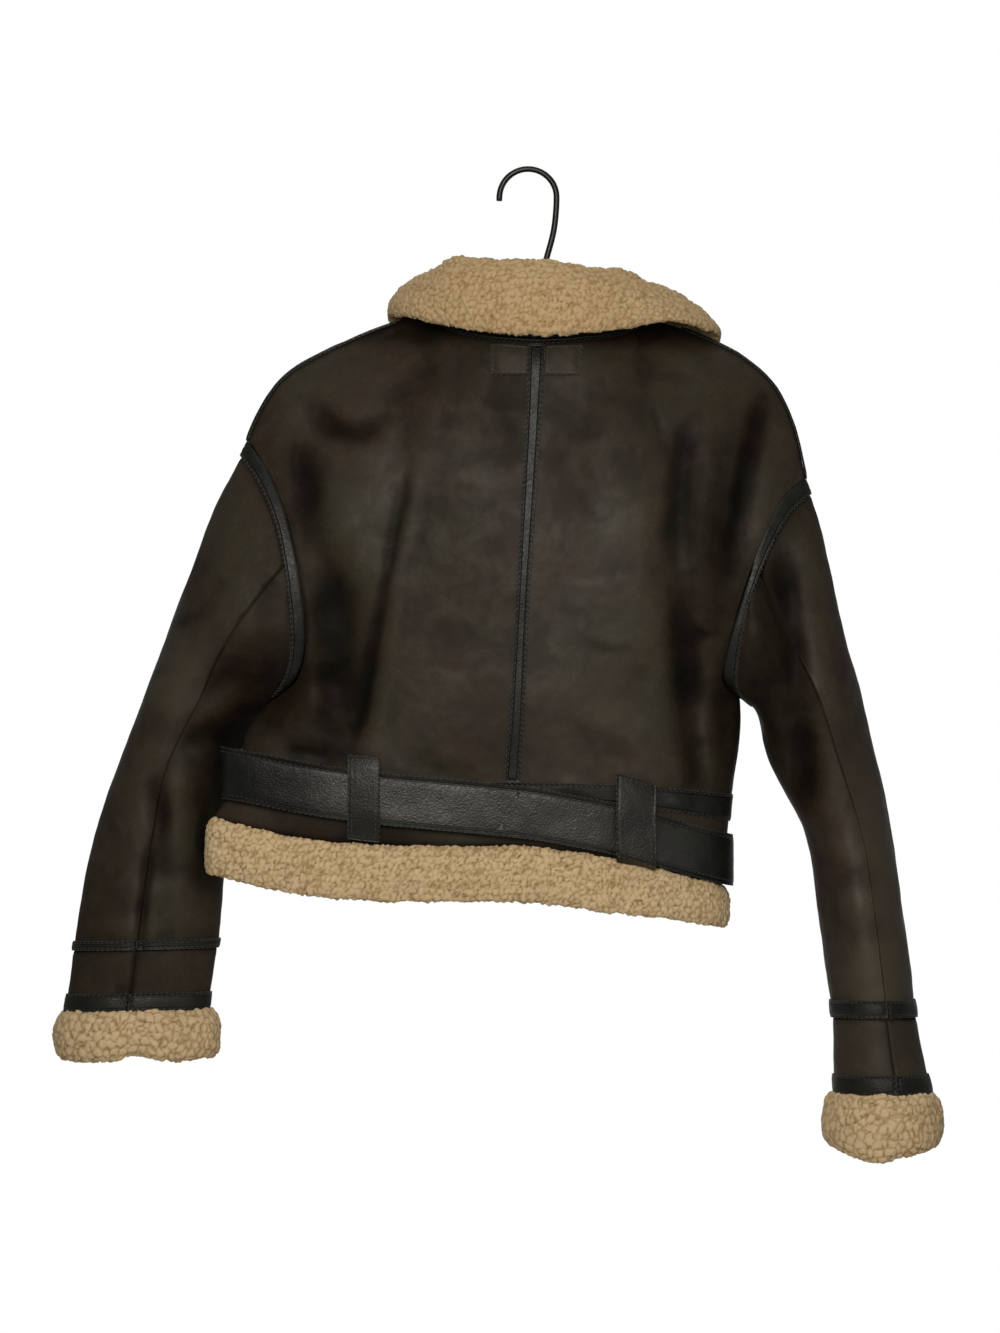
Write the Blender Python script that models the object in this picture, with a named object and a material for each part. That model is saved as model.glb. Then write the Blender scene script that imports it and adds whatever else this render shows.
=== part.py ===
# Cropped double-faced jacket, suede-like outside and fleece inside, hanging on its hanger.
# The cloth is built as walls cut along the garment's real seams: back and front panels, lower
# bands, sleeves, cuff bands, leather strips on the seams, fleece collar, hem and cuffs, and a belt.
# Frame: the hook's inner top is the origin, +Z is up, the jacket's back faces -Y and +X is to the
# right of someone who looks at its back. Every size below is in millimetres.

import math

import bmesh
import bpy
from mathutils import Vector

MM = 0.001

# Walls and gaps
CLOTH = 3.0
STRIP = 1.2
LIFT = 0.5
INLAID = 0.5
HALF_SEAM = 0.15
FACING_FULL = 0.35

# Neck opening: a level oval round the hanger's middle
NECK_X = 7.0
NECK_Y = 6.0
NECK_HALF_WIDTH = 88.0
NECK_HALF_DEPTH = 60.0
NECK_BACK_Z = -137.0
NECK_SIDE_Z = {-1: -113.0, 1: -120.0}
NECK_FRONT_Z = -190.0

# Columns of a panel run from its centre edge, 0, to its armhole and side edge, 1
NECK_SHARE = 0.42
STRIP_SHARE = 0.021
TAB_SHARE = 0.119
PLACKET_SHARE = 0.036
SHOULDER_SHARES = [0.52, 0.62, 0.72, 0.81, 0.89, 0.95, 1.0]
BACK_SHARES = [0, STRIP_SHARE, 0.07, TAB_SHARE, 0.19, 0.265, 0.34, NECK_SHARE] + SHOULDER_SHARES
FRONT_SHARES = [0, PLACKET_SHARE, 0.13, 0.23, 0.33, NECK_SHARE] + SHOULDER_SHARES
CROWD = 1.5

# Levels of a panel: 0 neck and shoulder seam, 6 underarm, 8 waist seam, 9 fleece hem
UNDERARM = 6.0
WAIST = 8.0
HEM = 9.0
ROUND_LEVEL = 2.2
SQUARE_LEVEL = 3.5
STRIP_LEVEL = 0.15
TAB_LEVELS = [0.3, 0.65, 1.0]
ARMHOLE_LEVELS = [0, 0.3, 0.65, 1, 1.5, 2, 2.6, 3.2, 3.8, 4.4, 5, 5.5, UNDERARM]
LOWER_LEVELS = [UNDERARM, 6.4, 6.8, 7.25, 7.6, WAIST - STRIP_LEVEL, WAIST]
BAND_LEVELS = [WAIST, WAIST + 0.2, 8.6, HEM]


def table(columns, rows):
    names = columns.split()
    return [dict(zip(names, row)) for row in rows]


CENTRE_BACK = table("x y z", [
    (7, -54, -137),
    (6, -63, -168),
    (4, -69, -208),
    (1, -74, -262),
    (-3, -77, -325),
    (-6, -76, -386),
    (-9, -73, -446),
    (-11, -67, -475),
    (-13, -62, -506),
    (-16, -60, -553),
])
CENTRE_FRONT = table("x y z", [
    (7, 66, -190),
    (6, 67, -213),
    (4, 69, -245),
    (1, 70, -286),
    (-3, 70, -336),
    (-6, 68, -391),
    (-9, 64, -446),
    (-11, 60, -475),
    (-13, 56, -506),
    (-16, 56, -553),
])
# Armhole down to level 6, then the side seam, where back and front meet
EDGES = {
    -1: table("z back_x back_y front_x front_y bend", [
        (-221, -230, -4, -230, -4, 1.0),
        (-249, -211, -27, -208, 20, 1.0),
        (-285, -196, -43, -188, 36, 1.0),
        (-335, -186, -53, -174, 47, 1.0),
        (-385, -181, -50, -173, 46, 1.1),
        (-417, -189, -35, -184, 27, 2.0),
        (-431, -206, -8, -206, -8, 5.0),
        (-458, -226, -18, -226, -18, 3.0),
        (-500, -238, -26, -238, -26, 2.0),
        (-528, -257, -32, -257, -32, 3.8),
    ]),
    1: table("z back_x back_y front_x front_y bend", [
        (-252, 228, 2, 228, 2, 1.0),
        (-268, 208, -22, 208, 28, 1.0),
        (-294, 195, -38, 192, 44, 1.0),
        (-335, 179, -47, 172, 53, 1.0),
        (-383, 165, -45, 163, 50, 1.1),
        (-418, 158, -30, 156, 36, 2.0),
        (-431, 174, 3, 174, 3, 5.0),
        (-462, 174, 4, 174, 4, 3.0),
        (-520, 166, 4, 166, 4, 2.0),
        (-586, 159, 0, 159, 0, 1.6),
    ]),
}
SHOULDERS = {
    -1: [(-81, -113), (-105, -122), (-148, -139), (-183, -155), (-203, -171), (-218, -194), (-230, -221)],
    1: [(95, -120), (124, -127), (157, -139), (183, -155), (203, -176), (218, -209), (228, -252)],
}

# Sleeve sections from the armhole to the fleece cuff. Outer and inner are the two sides of the
# sleeve as seen from behind, depth is half its size from back to front, and bow pulls the
# section's back and front towards the body.
SLEEVES = {
    -1: table("outer_x outer_z inner_x inner_z y depth bow", [
        (-251, -259, -213, -437, 1, 56, 22),
        (-280, -331, -219, -446, 14, 60, 10),
        (-306, -401, -227, -459, 32, 61, 4),
        (-337, -483, -246, -492, 43, 54, 0),
        (-359, -549, -246, -548, 43, 44, 0),
        (-371, -614, -251, -611, 38, 38, 0),
        (-375, -640, -254, -637, 37, 35, 0),
        (-381, -690, -262, -688, 35, 32, 0),
    ]),
    1: table("outer_x outer_z inner_x inner_z y depth bow", [
        (240, -288, 180, -436, 4, 54, -26),
        (254, -352, 187, -444, 8, 57, -12),
        (271, -417, 191, -456, 14, 58, -4),
        (287, -483, 196, -484, 20, 56, 0),
        (294, -516, 213, -517, 22, 56, 0),
        (301, -553, 231, -553, 24, 56, 0),
        (311, -625, 240, -625, 24, 54, 0),
        (319, -690, 249, -690, 24, 52, 0),
        (332, -757, 251, -757, 24, 50, 0),
    ]),
}
# Where the cuff strips lie, as a place along the sleeve's sections
CUFF_STRIPS = {-1: [(6.72, 7.0), (7.72, 8.0)], 1: [(7.84, 8.06), (8.76, 9.0)]}
SLEEVE_PLACES = {
    -1: [1.0, 1.6, 2.2, 2.7, 3.1, 3.5, 4.0, 4.5, 5.0, 5.5, 6.0, 6.4],
    1: [1.0, 1.6, 2.2, 2.7, 3.1, 3.6, 4.1, 4.6, 5.1, 5.6, 6.2, 6.8, 7.3],
}
ARMHOLE_STRIP_WIDTH = 13.0
STRIP_PLACE = 0.35
BACK_SEAM_COLUMN = 6
NECK_STRIP = 0.72
SHOULDER_STRIP = 0.32    # of the first row below the shoulder seam, on each face

# Fleece: a section's points as distance out from the cloth's face and share of its height down
FLEECE_HEM = [(1.5, 0.0), (3.4, 0.1), (4.4, 0.3), (4.6, 0.55), (3.8, 0.8), (1.5, 0.96), (-1.5, 1.0),
              (-4.2, 0.93), (-5.0, 0.7), (-5.0, 0.35), (-4.4, 0.1), (-2.8, 0.0)]
FLEECE_CUFF = [(2.2, 0.0), (6.0, 0.1), (8.8, 0.32), (9.2, 0.6), (7.4, 0.86), (3.6, 0.98), (-0.8, 1.0),
               (-4.0, 0.9), (-5.0, 0.6), (-5.0, 0.3), (-4.4, 0.08), (-2.4, 0.0)]
HEM_HEIGHTS = [(-258, 45), (60, 43.5), (158, 33)]
CUFF_HEIGHT = {-1: (38.0, 3.0), 1: (42.0, 13.0)}

# Collar by angle round the neck: 0 is the back and 90 the left shoulder. Rise is the fold's height
# above the neck seam, spread how far out the fall's edge reaches and drop its height.
COLLAR = table("angle rise spread drop", [
    (-168, 30, 34, -34),
    (-135, 27, 44, -21),
    (-95, 22, 60, -10),
    (-72, 29, 48, -3),
    (-45, 48, 30, 5),
    (0, 60, 23, 4),
    (45, 57, 24, 6),
    (64, 37, 28, 2),
    (90, 22, 31, -3),
    (135, 26, 38, -17),
    (168, 30, 32, -34),
])
COLLAR_HALF = 4.0
COLLAR_BASE = 4.6
COLLAR_STATIONS = 30

# Belt line: height of its middle across the back, its own size, and where its loops are
BELT_LINE = [(-245, -491), (-188, -504), (-150, -510), (-117, -514), (-40, -521), (7, -526), (73, -538),
             (105, -547), (170, -566)]
BELT_HALF = 21.0
BELT_THICK = 2.4
BELT_START = 0.2
BELT_TIP = 0.62
BUCKLE_X = 8.0
LOOP_CLEAR = 0.5
LOOPS = table("name x width above below", [
    ("belt_loop_left", -134, 26, 31, 34),
    ("belt_loop_right", 88, 32, 43, 32),
])

# Hanger and its wire hook
HOOK_RADIUS = 23.75
WIRE_RADIUS = 2.25
HOOK_FOOT = [(22.2, -45), (18.5, -60), (14.5, -73), (11.5, -87), (10.5, -105.6)]
HANGER_HALF_THICK = 6.0
HANGER_DEEP = 20.0
HANGER_LINE = [0.0, 0.11, 0.22, 0.33, 0.44, 0.55]
HANGER_MIDDLE = (10.5, -106.0)
HANGER_DROP = 4.0

# Large folds: a curved line through three places on the back or front, how wide and how deep
FOLDS = table("part face x0 z0 x1 z1 x2 z2 width depth", [
    ("body", "back", -183, -185, -168, -240, -177, -300, 13, -8),
    ("body", "back", -164, -315, -142, -395, -156, -466, 15, -14),
    ("body", "back", -150, -462, -172, -482, -205, -476, 11, -8),
    ("body", "back", -186, -425, -180, -443, -196, -456, 16, 7),
    ("body", "back", -98, -230, -112, -325, -129, -430, 12, -5),
    ("body", "back", -140, -240, -138, -300, -126, -350, 26, 5),
    ("body", "back", -190, -172, -146, -212, -104, -182, 12, -4),
    ("body", "back", 143, -180, 122, -290, 131, -420, 10, -8),
    ("body", "back", 131, -400, 134, -450, 138, -500, 10, -7),
    ("body", "back", 104, -250, 100, -340, 106, -430, 28, 4),
    ("body", "back", 150, -240, 146, -310, 148, -372, 13, 6),
    ("body", "back", 194, -178, 180, -255, 166, -350, 13, -10),
    ("body", "back", 128, -376, 140, -382, 154, -374, 11, -4),
    ("sleeve", "back", -226, -392, -252, -430, -300, -448, 14, -15),
    ("sleeve", "back", -212, -372, -246, -392, -300, -416, 22, 8),
    ("sleeve", "back", -238, -440, -256, -470, -300, -480, 20, -7),
    ("sleeve", "back", -310, -506, -296, -530, -266, -514, 12, -6),
    ("sleeve", "back", 206, -290, 214, -390, 226, -520, 15, -13),
    ("sleeve", "back", 190, -340, 196, -390, 198, -440, 16, 5),
    ("body", "front", -176, -200, -160, -270, -150, -330, 15, -6),
    ("body", "front", -136, -370, -126, -430, -134, -480, 16, -7),
    ("body", "front", 150, -210, 138, -290, 132, -370, 15, -6),
    ("body", "front", 92, -390, 84, -440, 90, -490, 14, -6),
    ("sleeve", "front", -236, -400, -262, -430, -300, -446, 15, -8),
    ("sleeve", "front", 206, -300, 216, -400, 226, -510, 16, -8),
])
FOLD_STEPS = 8


def smooth(x):
    x = min(1.0, max(0.0, x))
    return x * x * (3 - 2 * x)


def spline(values, place, start=0):
    # Catmull-Rom through evenly spaced numbers or vectors. Start 1 keeps the curve level at its
    # first value, as over a ridge, and 0 runs straight on.
    last = len(values) - 1
    k = min(int(place), last - 1)
    f = place - k
    p1, p2 = values[k], values[k + 1]
    if k > 0:
        p0 = values[k - 1]
    else:
        p0 = p2 if start else p1 * 2 - p2
    p3 = values[k + 2] if k + 2 <= last else p2 * 2 - p1
    return ((p1 * 2) + (p2 - p0) * f + (p0 * 2 - p1 * 5 + p2 * 4 - p3) * f * f
            + (p1 * 3 - p0 - p2 * 3 + p3) * f ** 3) * 0.5


def column(rows, name):
    return [row[name] for row in rows]


def between(points, x):
    # Straight-line reading of a short list of (x, value) pairs
    if x <= points[0][0]:
        return points[0][1]
    for (x0, v0), (x1, v1) in zip(points, points[1:]):
        if x <= x1:
            return v0 + (v1 - v0) * (x - x0) / (x1 - x0)
    return points[-1][1]


def by_angle(angle, name):
    rows = [(row["angle"], row[name]) for row in COLLAR]
    k = max(i for i in range(len(rows) - 1) if rows[i][0] <= angle or i == 0)
    f = smooth((angle - rows[k][0]) / (rows[k + 1][0] - rows[k][0]))
    return rows[k][1] + (rows[k + 1][1] - rows[k][1]) * f


# The garment's outside as a surface

def neck_point(angle):
    # Angle in degrees from the middle of the back, positive towards the left (-X)
    turn = math.radians(angle)
    side_z = NECK_SIDE_Z[-1 if angle >= 0 else 1]
    if abs(angle) <= 90:
        z = NECK_BACK_Z + (side_z - NECK_BACK_Z) * (1 - math.cos(turn))
    else:
        z = side_z + (NECK_FRONT_Z - side_z) * (-math.cos(turn)) ** 1.3
    return Vector((NECK_X - NECK_HALF_WIDTH * math.sin(turn), NECK_Y - NECK_HALF_DEPTH * math.cos(turn), z))


def seam_point(side, share):
    # Shoulder seam, 0 at the neck and 1 at the top of the armhole
    line = [Vector(p) for p in SHOULDERS[side]]
    place = spline(line, share * (len(line) - 1))
    tip_y = EDGES[side][0]["back_y"]
    return Vector((place.x, NECK_Y + (tip_y - NECK_Y) * share, place.y))


def top_point(side, face, s):
    if s >= NECK_SHARE:
        return seam_point(side, (s - NECK_SHARE) / (1 - NECK_SHARE))
    quarter = 90 * s / NECK_SHARE
    return neck_point(-side * (quarter if face == "back" else 180 - quarter))


def edge_value(side, name, u, start=0):
    # The armhole's curve ends at the underarm, where the side seam starts
    values = column(EDGES[side], name)
    corner = int(UNDERARM)
    if u > UNDERARM:
        return spline(values[corner:], u - UNDERARM)
    return spline(values[:corner + 1], u, start)


def edge_point(side, face, u):
    x = edge_value(side, face + "_x", u, start=1)
    return Vector((x, edge_value(side, face + "_y", u), edge_value(side, "z", u, start=1)))


def body_point(side, face, s, u):
    centre_rows = CENTRE_BACK if face == "back" else CENTRE_FRONT
    centre = Vector([spline(column(centre_rows, axis), u) for axis in "xyz"])
    edge = edge_point(side, face, u)
    top, first, tip = (top_point(side, face, x) for x in (s, 0, 1))
    moved = top + (centre - first) * (1 - s) + (edge - tip) * s
    reach = 1 - (1 - s) ** CROWD
    bend = edge_value(side, "bend", u)
    level_x = centre.x + (edge.x - centre.x) * reach
    level_z = centre.z + (edge.z - centre.z) * reach ** bend
    square = smooth(u / SQUARE_LEVEL)
    fullness = 0.75 - 0.33 * smooth((u - 5.6) / 2.2)
    profile = max(0.0, 1 - reach ** 2.5) ** fullness
    rounding = math.sin(math.pi / 2 * min(1.0, u / ROUND_LEVEL))
    y = edge.y + (centre.y - edge.y) * profile * rounding + (top.y - tip.y) * (1 - rounding)
    return Vector((moved.x + (level_x - moved.x) * square, y, moved.z + (level_z - moved.z) * square))


def ring_angles(side):
    # A sleeve's columns: top of the armhole, down its back, underarm, and up its front
    heights = [edge_point(side, "back", u).z for u in ARMHOLE_LEVELS]
    drop = heights[0] - heights[-1]
    half = [math.acos(1 - 2 * min(1.0, (heights[0] - z) / drop)) for z in heights]
    return half + [2 * math.pi - a for a in reversed(half[:-1])]


def armhole_ring(side):
    back = [edge_point(side, "back", u) for u in ARMHOLE_LEVELS]
    front = [edge_point(side, "front", u) for u in ARMHOLE_LEVELS]
    return back + list(reversed(front[:-1]))


def section_point(row, angle):
    f = (1 - math.cos(angle)) / 2
    x = row["outer_x"] + (row["inner_x"] - row["outer_x"]) * f + row["bow"] * math.sin(angle) ** 2
    z = row["outer_z"] + (row["inner_z"] - row["outer_z"]) * f
    return Vector((x, row["y"] - row["depth"] * math.sin(angle), z))


def sleeve_lines(side):
    # One list of points for each column, from the armhole through every section
    return [[start] + [section_point(row, angle) for row in SLEEVES[side]]
            for start, angle in zip(armhole_ring(side), ring_angles(side))]


def strip_place(line):
    # How far along the sections the armhole strip's edge lies on this column
    place, before, length = 0.0, line[0], 0.0
    while length < ARMHOLE_STRIP_WIDTH:
        place += 0.02
        now = spline(line, place)
        length += (now - before).length
        before = now
    return place


def sleeve_rows(side, places):
    lines = sleeve_lines(side)
    firsts = [strip_place(line) for line in lines]
    rows = []
    for place in places:
        row = []
        for line, first in zip(lines, firsts):
            fade = max(0.0, 1 - (place - STRIP_PLACE) / 3)
            at = place + (first - STRIP_PLACE) * fade if place >= STRIP_PLACE else first * place / STRIP_PLACE
            row.append(spline(line, at))
        rows.append(row)
    return rows


def garment_patches():
    # Every cloth patch as rows of points on the outside, with how its normal turns
    patches = {}
    levels = ARMHOLE_LEVELS + LOWER_LEVELS[1:]
    for side, word in ((-1, "left"), (1, "right")):
        for face, shares in (("back", BACK_SHARES), ("front", FRONT_SHARES)):
            turn = side if face == "back" else -side
            rows = [[body_point(side, face, s, u) for s in shares] for u in levels]
            patches[f"{face}_{word}"] = (rows, turn)
            patches[f"band_{face}_{word}"] = (
                [[body_point(side, face, s, u) for s in shares] for u in BAND_LEVELS], turn)
        upper, lower = CUFF_STRIPS[side]
        places = [0.0, STRIP_PLACE] + SLEEVE_PLACES[side] + [upper[0], upper[1]]
        rows = sleeve_rows(side, places)
        patches[f"armhole_strip_{word}"] = (rows[:2], -side)
        patches[f"sleeve_top_{word}"] = ([top_columns(row) for row in rows[1:]], -side)
        patches[f"sleeve_under_{word}"] = ([under_columns(row) for row in rows[1:]], -side)
        rows = sleeve_rows(side, [upper[1], (upper[1] + lower[0]) / 2, lower[0], lower[1]])
        patches[f"cuff_band_{word}"] = ([whole_columns(row) for row in rows], -side)
    return patches


def top_columns(row):
    # Over the top of the sleeve, from its front seam to its back seam
    return row[-1 - BACK_SEAM_COLUMN:-1] + row[:BACK_SEAM_COLUMN + 1]


def under_columns(row):
    return row[BACK_SEAM_COLUMN:len(row) - BACK_SEAM_COLUMN]


def whole_columns(row):
    # Right round, from the back seam to the back seam
    return row[BACK_SEAM_COLUMN:-1] + row[:BACK_SEAM_COLUMN + 1]


def key(point):
    return tuple(round(c * 50) for c in point)


def own_normals(rows, turn):
    sums = {}
    for i in range(len(rows) - 1):
        for j in range(len(rows[0]) - 1):
            a, b, c, d = rows[i][j], rows[i][j + 1], rows[i + 1][j + 1], rows[i + 1][j]
            normal = (c - a).cross(b - d) * turn
            for p in (a, b, c, d):
                sums[key(p)] = sums.get(key(p), Vector()) + normal
    return sums


def is_body(name):
    return name.split("_")[0] in ("back", "front", "band")


def shared_normals(patches):
    # A seam's point faces midway between the cloth on its two sides, so the walls meet in a mitre
    sides = {True: {}, False: {}}
    for name, (rows, turn) in patches.items():
        sums = sides[is_body(name)]
        for k, normal in own_normals(rows, turn).items():
            sums[k] = sums.get(k, Vector()) + normal.normalized()
    whole = {}
    for sums in sides.values():
        for k, normal in sums.items():
            whole[k] = whole.get(k, Vector()) + normal.normalized()
    return {name: [[whole[key(p)].normalized() for p in row] for row in rows]
            for name, (rows, turn) in patches.items()}


def fold_lines():
    lines = []
    for fold in FOLDS:
        a, b, c = (Vector((fold[f"x{k}"], fold[f"z{k}"])) for k in range(3))
        points = []
        for k in range(FOLD_STEPS + 1):
            f = k / FOLD_STEPS
            points.append(a * (1 - f) * (1 - 2 * f) + b * 4 * f * (1 - f) + c * f * (2 * f - 1))
        lines.append((fold, points))
    return lines


def fold_depth(point, normal, lines, part):
    place = Vector((point.x, point.z))
    total = 0.0
    for fold, points in lines:
        facing = -normal.y if fold["face"] == "back" else normal.y
        if facing <= 0 or fold["part"] != part:
            continue
        best, where = 1e9, 0.0
        for k in range(FOLD_STEPS):
            step = points[k + 1] - points[k]
            f = min(1.0, max(0.0, (place - points[k]).dot(step) / step.length_squared))
            away = (place - points[k] - step * f).length
            if away < best:
                best, where = away, (k + f) / FOLD_STEPS
        ends = smooth(min(where, 1 - where) * 3.5 + 0.12)
        total += fold["depth"] * ends * math.exp(-(best / fold["width"]) ** 2) * smooth(facing / FACING_FULL)
    return total


def folded(patches):
    # Seam points move by the mean of what each patch on them asks for
    normals = shared_normals(patches)
    lines = fold_lines()
    asked = {}
    for name, (rows, turn) in patches.items():
        part = "body" if is_body(name) else "sleeve"
        for row, line in zip(rows, normals[name]):
            for p, n in zip(row, line):
                asked.setdefault(key(p), []).append(n * fold_depth(p, n, lines, part))
    moved = {k: sum(v, Vector()) / len(v) for k, v in asked.items()}
    return {name: ([[p + moved[key(p)] for p in row] for row in rows], turn)
            for name, (rows, turn) in patches.items()}


# Solids

def material(name, colour, roughness, metallic=0.0):
    made = bpy.data.materials.get(name)
    if made is None:
        made = bpy.data.materials.new(name)
        made.use_nodes = True
        shader = made.node_tree.nodes["Principled BSDF"]
        shader.inputs["Base Color"].default_value = (*colour, 1)
        shader.inputs["Roughness"].default_value = roughness
        shader.inputs["Metallic"].default_value = metallic
    return made


def suede():
    return material("brown_suede", (0.038, 0.031, 0.023), 0.62)


def leather():
    return material("black_leather", (0.013, 0.013, 0.011), 0.45)


def fleece():
    return material("cream_fleece", (0.36, 0.25, 0.12), 0.95)


def blackened_steel():
    return material("blackened_steel", (0.012, 0.011, 0.010), 0.35, 0.8)


def hanger_plastic():
    return material("hanger_plastic", (0.015, 0.015, 0.015), 0.5)


def finish(name, bm, made_of):
    bmesh.ops.recalc_face_normals(bm, faces=bm.faces)
    bmesh.ops.scale(bm, vec=(MM, MM, MM), verts=bm.verts)
    mesh = bpy.data.meshes.new(name)
    bm.to_mesh(mesh)
    bm.free()
    mesh.shade_smooth()
    mesh.set_sharp_from_angle(angle=math.radians(40))
    mesh.materials.append(made_of)
    obj = bpy.data.objects.new(name, mesh)
    bpy.context.scene.collection.objects.link(obj)
    return obj


def grid(bm, rows):
    # A Blender grid whose points are then put in place, one for each row and column
    down, across = len(rows) - 1, len(rows[0]) - 1
    made = bmesh.ops.create_grid(bm, x_segments=across, y_segments=down, size=1)["verts"]
    cells = {}
    for v in made:
        i, j = round((v.co.y + 1) / 2 * down), round((v.co.x + 1) / 2 * across)
        cells[v] = (i, j)
    for v, (i, j) in cells.items():
        v.co = rows[i][j]
    return cells


def inward(edge, inner, k):
    # From an edge's point towards the cloth, square to the edge
    run = (edge[min(k + 1, len(edge) - 1)] - edge[max(k - 1, 0)]).normalized()
    step = inner[k] - edge[k]
    return (step - run * step.dot(run)).normalized() * HALF_SEAM


def trimmed(rows):
    # The patch with its four edges drawn in by half a seam's gap
    columns = [list(c) for c in zip(*rows)]
    out = [[p.copy() for p in row] for row in rows]
    for i in range(len(rows)):
        out[i][0] += inward(columns[0], columns[1], i)
        out[i][-1] += inward(columns[-1], columns[-2], i)
    for j in range(len(columns)):
        out[0][j] += inward(rows[0], rows[1], j)
        out[-1][j] += inward(rows[-1], rows[-2], j)
    return out


def wall(name, rows, normals, made_of, outside=0.0, thick=CLOTH):
    # Cloth of a given thickness whose outer face lies "outside" the patch's points
    rows = trimmed(rows)
    bm = bmesh.new()
    tag = bm.verts.layers.int.new("cell")
    cells = grid(bm, [[p + n * outside for p, n in zip(row, line)] for row, line in zip(rows, normals)])
    across = len(rows[0])
    for v, (i, j) in cells.items():
        v[tag] = i * across + j
    outer = set(cells)
    bmesh.ops.extrude_face_region(bm, geom=bm.faces[:], use_keep_orig=True)
    for v in bm.verts:
        if v not in outer:
            i, j = divmod(v[tag], across)
            v.co = rows[i][j] + normals[i][j] * (outside - thick)
    bmesh.ops.triangulate(bm, faces=bm.faces[:], quad_method="SHORT_EDGE")
    return finish(name, bm, made_of)


def strip(name, rows, normals, made_of, thick=STRIP, lift=LIFT):
    return wall(name, rows, normals, made_of, outside=lift + thick, thick=thick)


def sweep(name, stations, made_of, closed=False):
    # A solid skin over a row of closed sections
    rows = [list(section) + [section[0]] for section in stations]
    if closed:
        rows.append(rows[0])
    bm = bmesh.new()
    grid(bm, rows)
    bmesh.ops.remove_doubles(bm, verts=bm.verts, dist=0.01)
    if not closed:
        bmesh.ops.holes_fill(bm, edges=[e for e in bm.edges if e.is_boundary])
    return finish(name, bm, made_of)


def cloth_walls(patches, normals):
    for name, (rows, turn) in patches.items():
        if name.startswith("armhole"):
            wall(name, rows, normals[name], leather(), outside=INLAID, thick=CLOTH + INLAID)
        elif not name.startswith("band_back"):
            wall(name, rows, normals[name], suede())
    left, right = patches["band_back_left"][0], patches["band_back_right"][0]
    rows = [list(reversed(a)) + b[1:] for a, b in zip(left, right)]
    lines = [list(reversed(a)) + b[1:] for a, b in zip(normals["band_back_left"], normals["band_back_right"])]
    wall("band_back", rows, lines, suede())


def both_sides(patches, normals, face, rows, upto):
    # Points across the middle of the back or front, from the left panel to the right one
    points, lines = [], []
    for i in rows:
        row, line = [], []
        for word, order in (("left", -1), ("right", 1)):
            part = patches[f"{face}_{word}"][0][i][: upto + 1][::order]
            norms = normals[f"{face}_{word}"][i][: upto + 1][::order]
            row += part if order < 0 else part[1:]
            line += norms if order < 0 else norms[1:]
        points.append(row)
        lines.append(line)
    return points, lines


def seam_strips(patches, normals):
    waist_row = len(ARMHOLE_LEVELS) + len(LOWER_LEVELS) - 3
    points, lines = both_sides(patches, normals, "back", range(waist_row + 1), 1)
    points[0], lines[0] = part_way(points, NECK_STRIP + 0.03), part_way(lines, NECK_STRIP + 0.03)
    strip("centre_back_strip", points, lines, leather())
    neck = BACK_SHARES.index(NECK_SHARE)
    points, lines = both_sides(patches, normals, "back", range(2), neck)
    points[1], lines[1] = part_way(points, NECK_STRIP), part_way(lines, NECK_STRIP)
    strip("neck_strip", points, lines, leather(), lift=0.9)
    first = ARMHOLE_LEVELS.index(TAB_LEVELS[0])
    tab_end = BACK_SHARES.index(TAB_SHARE)
    for word in ("left", "right"):
        rows = [row[1:tab_end + 1] for row in patches[f"back_{word}"][0][first:first + 3]]
        norms = [row[1:tab_end + 1] for row in normals[f"back_{word}"][first:first + 3]]
        strip(f"neck_tab_{word}", rows, norms, suede())
        back, front = (patches[f"{face}_{word}"][0] for face in ("back", "front"))
        back_n, front_n = (normals[f"{face}_{word}"] for face in ("back", "front"))
        skip = len(SHOULDER_SHARES)
        rows, norms = ([part_way([one[0][-skip:], one[1][-skip:]], SHOULDER_STRIP), one[0][-skip:],
                        part_way([one[0][-skip:], two[1][-skip:]], SHOULDER_STRIP)]
                       for one, two in ((back, front), (back_n, front_n)))
        strip(f"shoulder_strip_{word}", rows, norms, leather())
        rows = [a + b[1:] for a, b in zip(patches[f"sleeve_under_{word}"][0][-2:],
                                          patches[f"sleeve_top_{word}"][0][-2:])]
        norms = [a + b[1:] for a, b in zip(normals[f"sleeve_under_{word}"][-2:],
                                           normals[f"sleeve_top_{word}"][-2:])]
        strip(f"cuff_strip_upper_{word}", rows, norms, leather())
        rows, norms = patches[f"cuff_band_{word}"][0], normals[f"cuff_band_{word}"]
        strip(f"cuff_strip_lower_{word}", rows[-2:], norms[-2:], leather())
    waist_strip(patches, normals, waist_row)
    placket(patches, normals)


def part_way(rows, share):
    return [a.lerp(b, share) for a, b in zip(rows[0], rows[1])]


def waist_strip(patches, normals, waist_row):
    # Round the waist seam from one edge of the placket to the other
    picked = []
    for panel, row in (("", waist_row), ("", waist_row + 1), ("band_", 1)):
        points, lines = [], []
        for face, word, order in (("front", "left", 1), ("back", "left", -1), ("back", "right", 1),
                                  ("front", "right", -1)):
            part = patches[f"{panel}{face}_{word}"][0][row]
            norms = normals[f"{panel}{face}_{word}"][row]
            if face == "front":
                part, norms = part[1:], norms[1:]
            skip = 0 if not points else 1
            points += part[::order][skip:]
            lines += norms[::order][skip:]
        picked.append((points, lines))
    strip("waist_strip", [p for p, _ in picked], [n for _, n in picked], leather())


def placket(patches, normals):
    # The strip that covers the front opening, from the neck to the fleece hem
    upper, upper_n = both_sides(patches, normals, "front", range(len(patches["front_left"][0])), 1)
    lower, lower_n = both_sides(patches, normals, "band_front", range(1, len(BAND_LEVELS)), 1)
    strip("front_placket", upper + lower, upper_n + lower_n, leather(), thick=2.0, lift=1.0)


# Fleece

def fleece_section(base, out, down, shape, height):
    return [base + out * o + down * (share * height) for o, share in shape]


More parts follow.
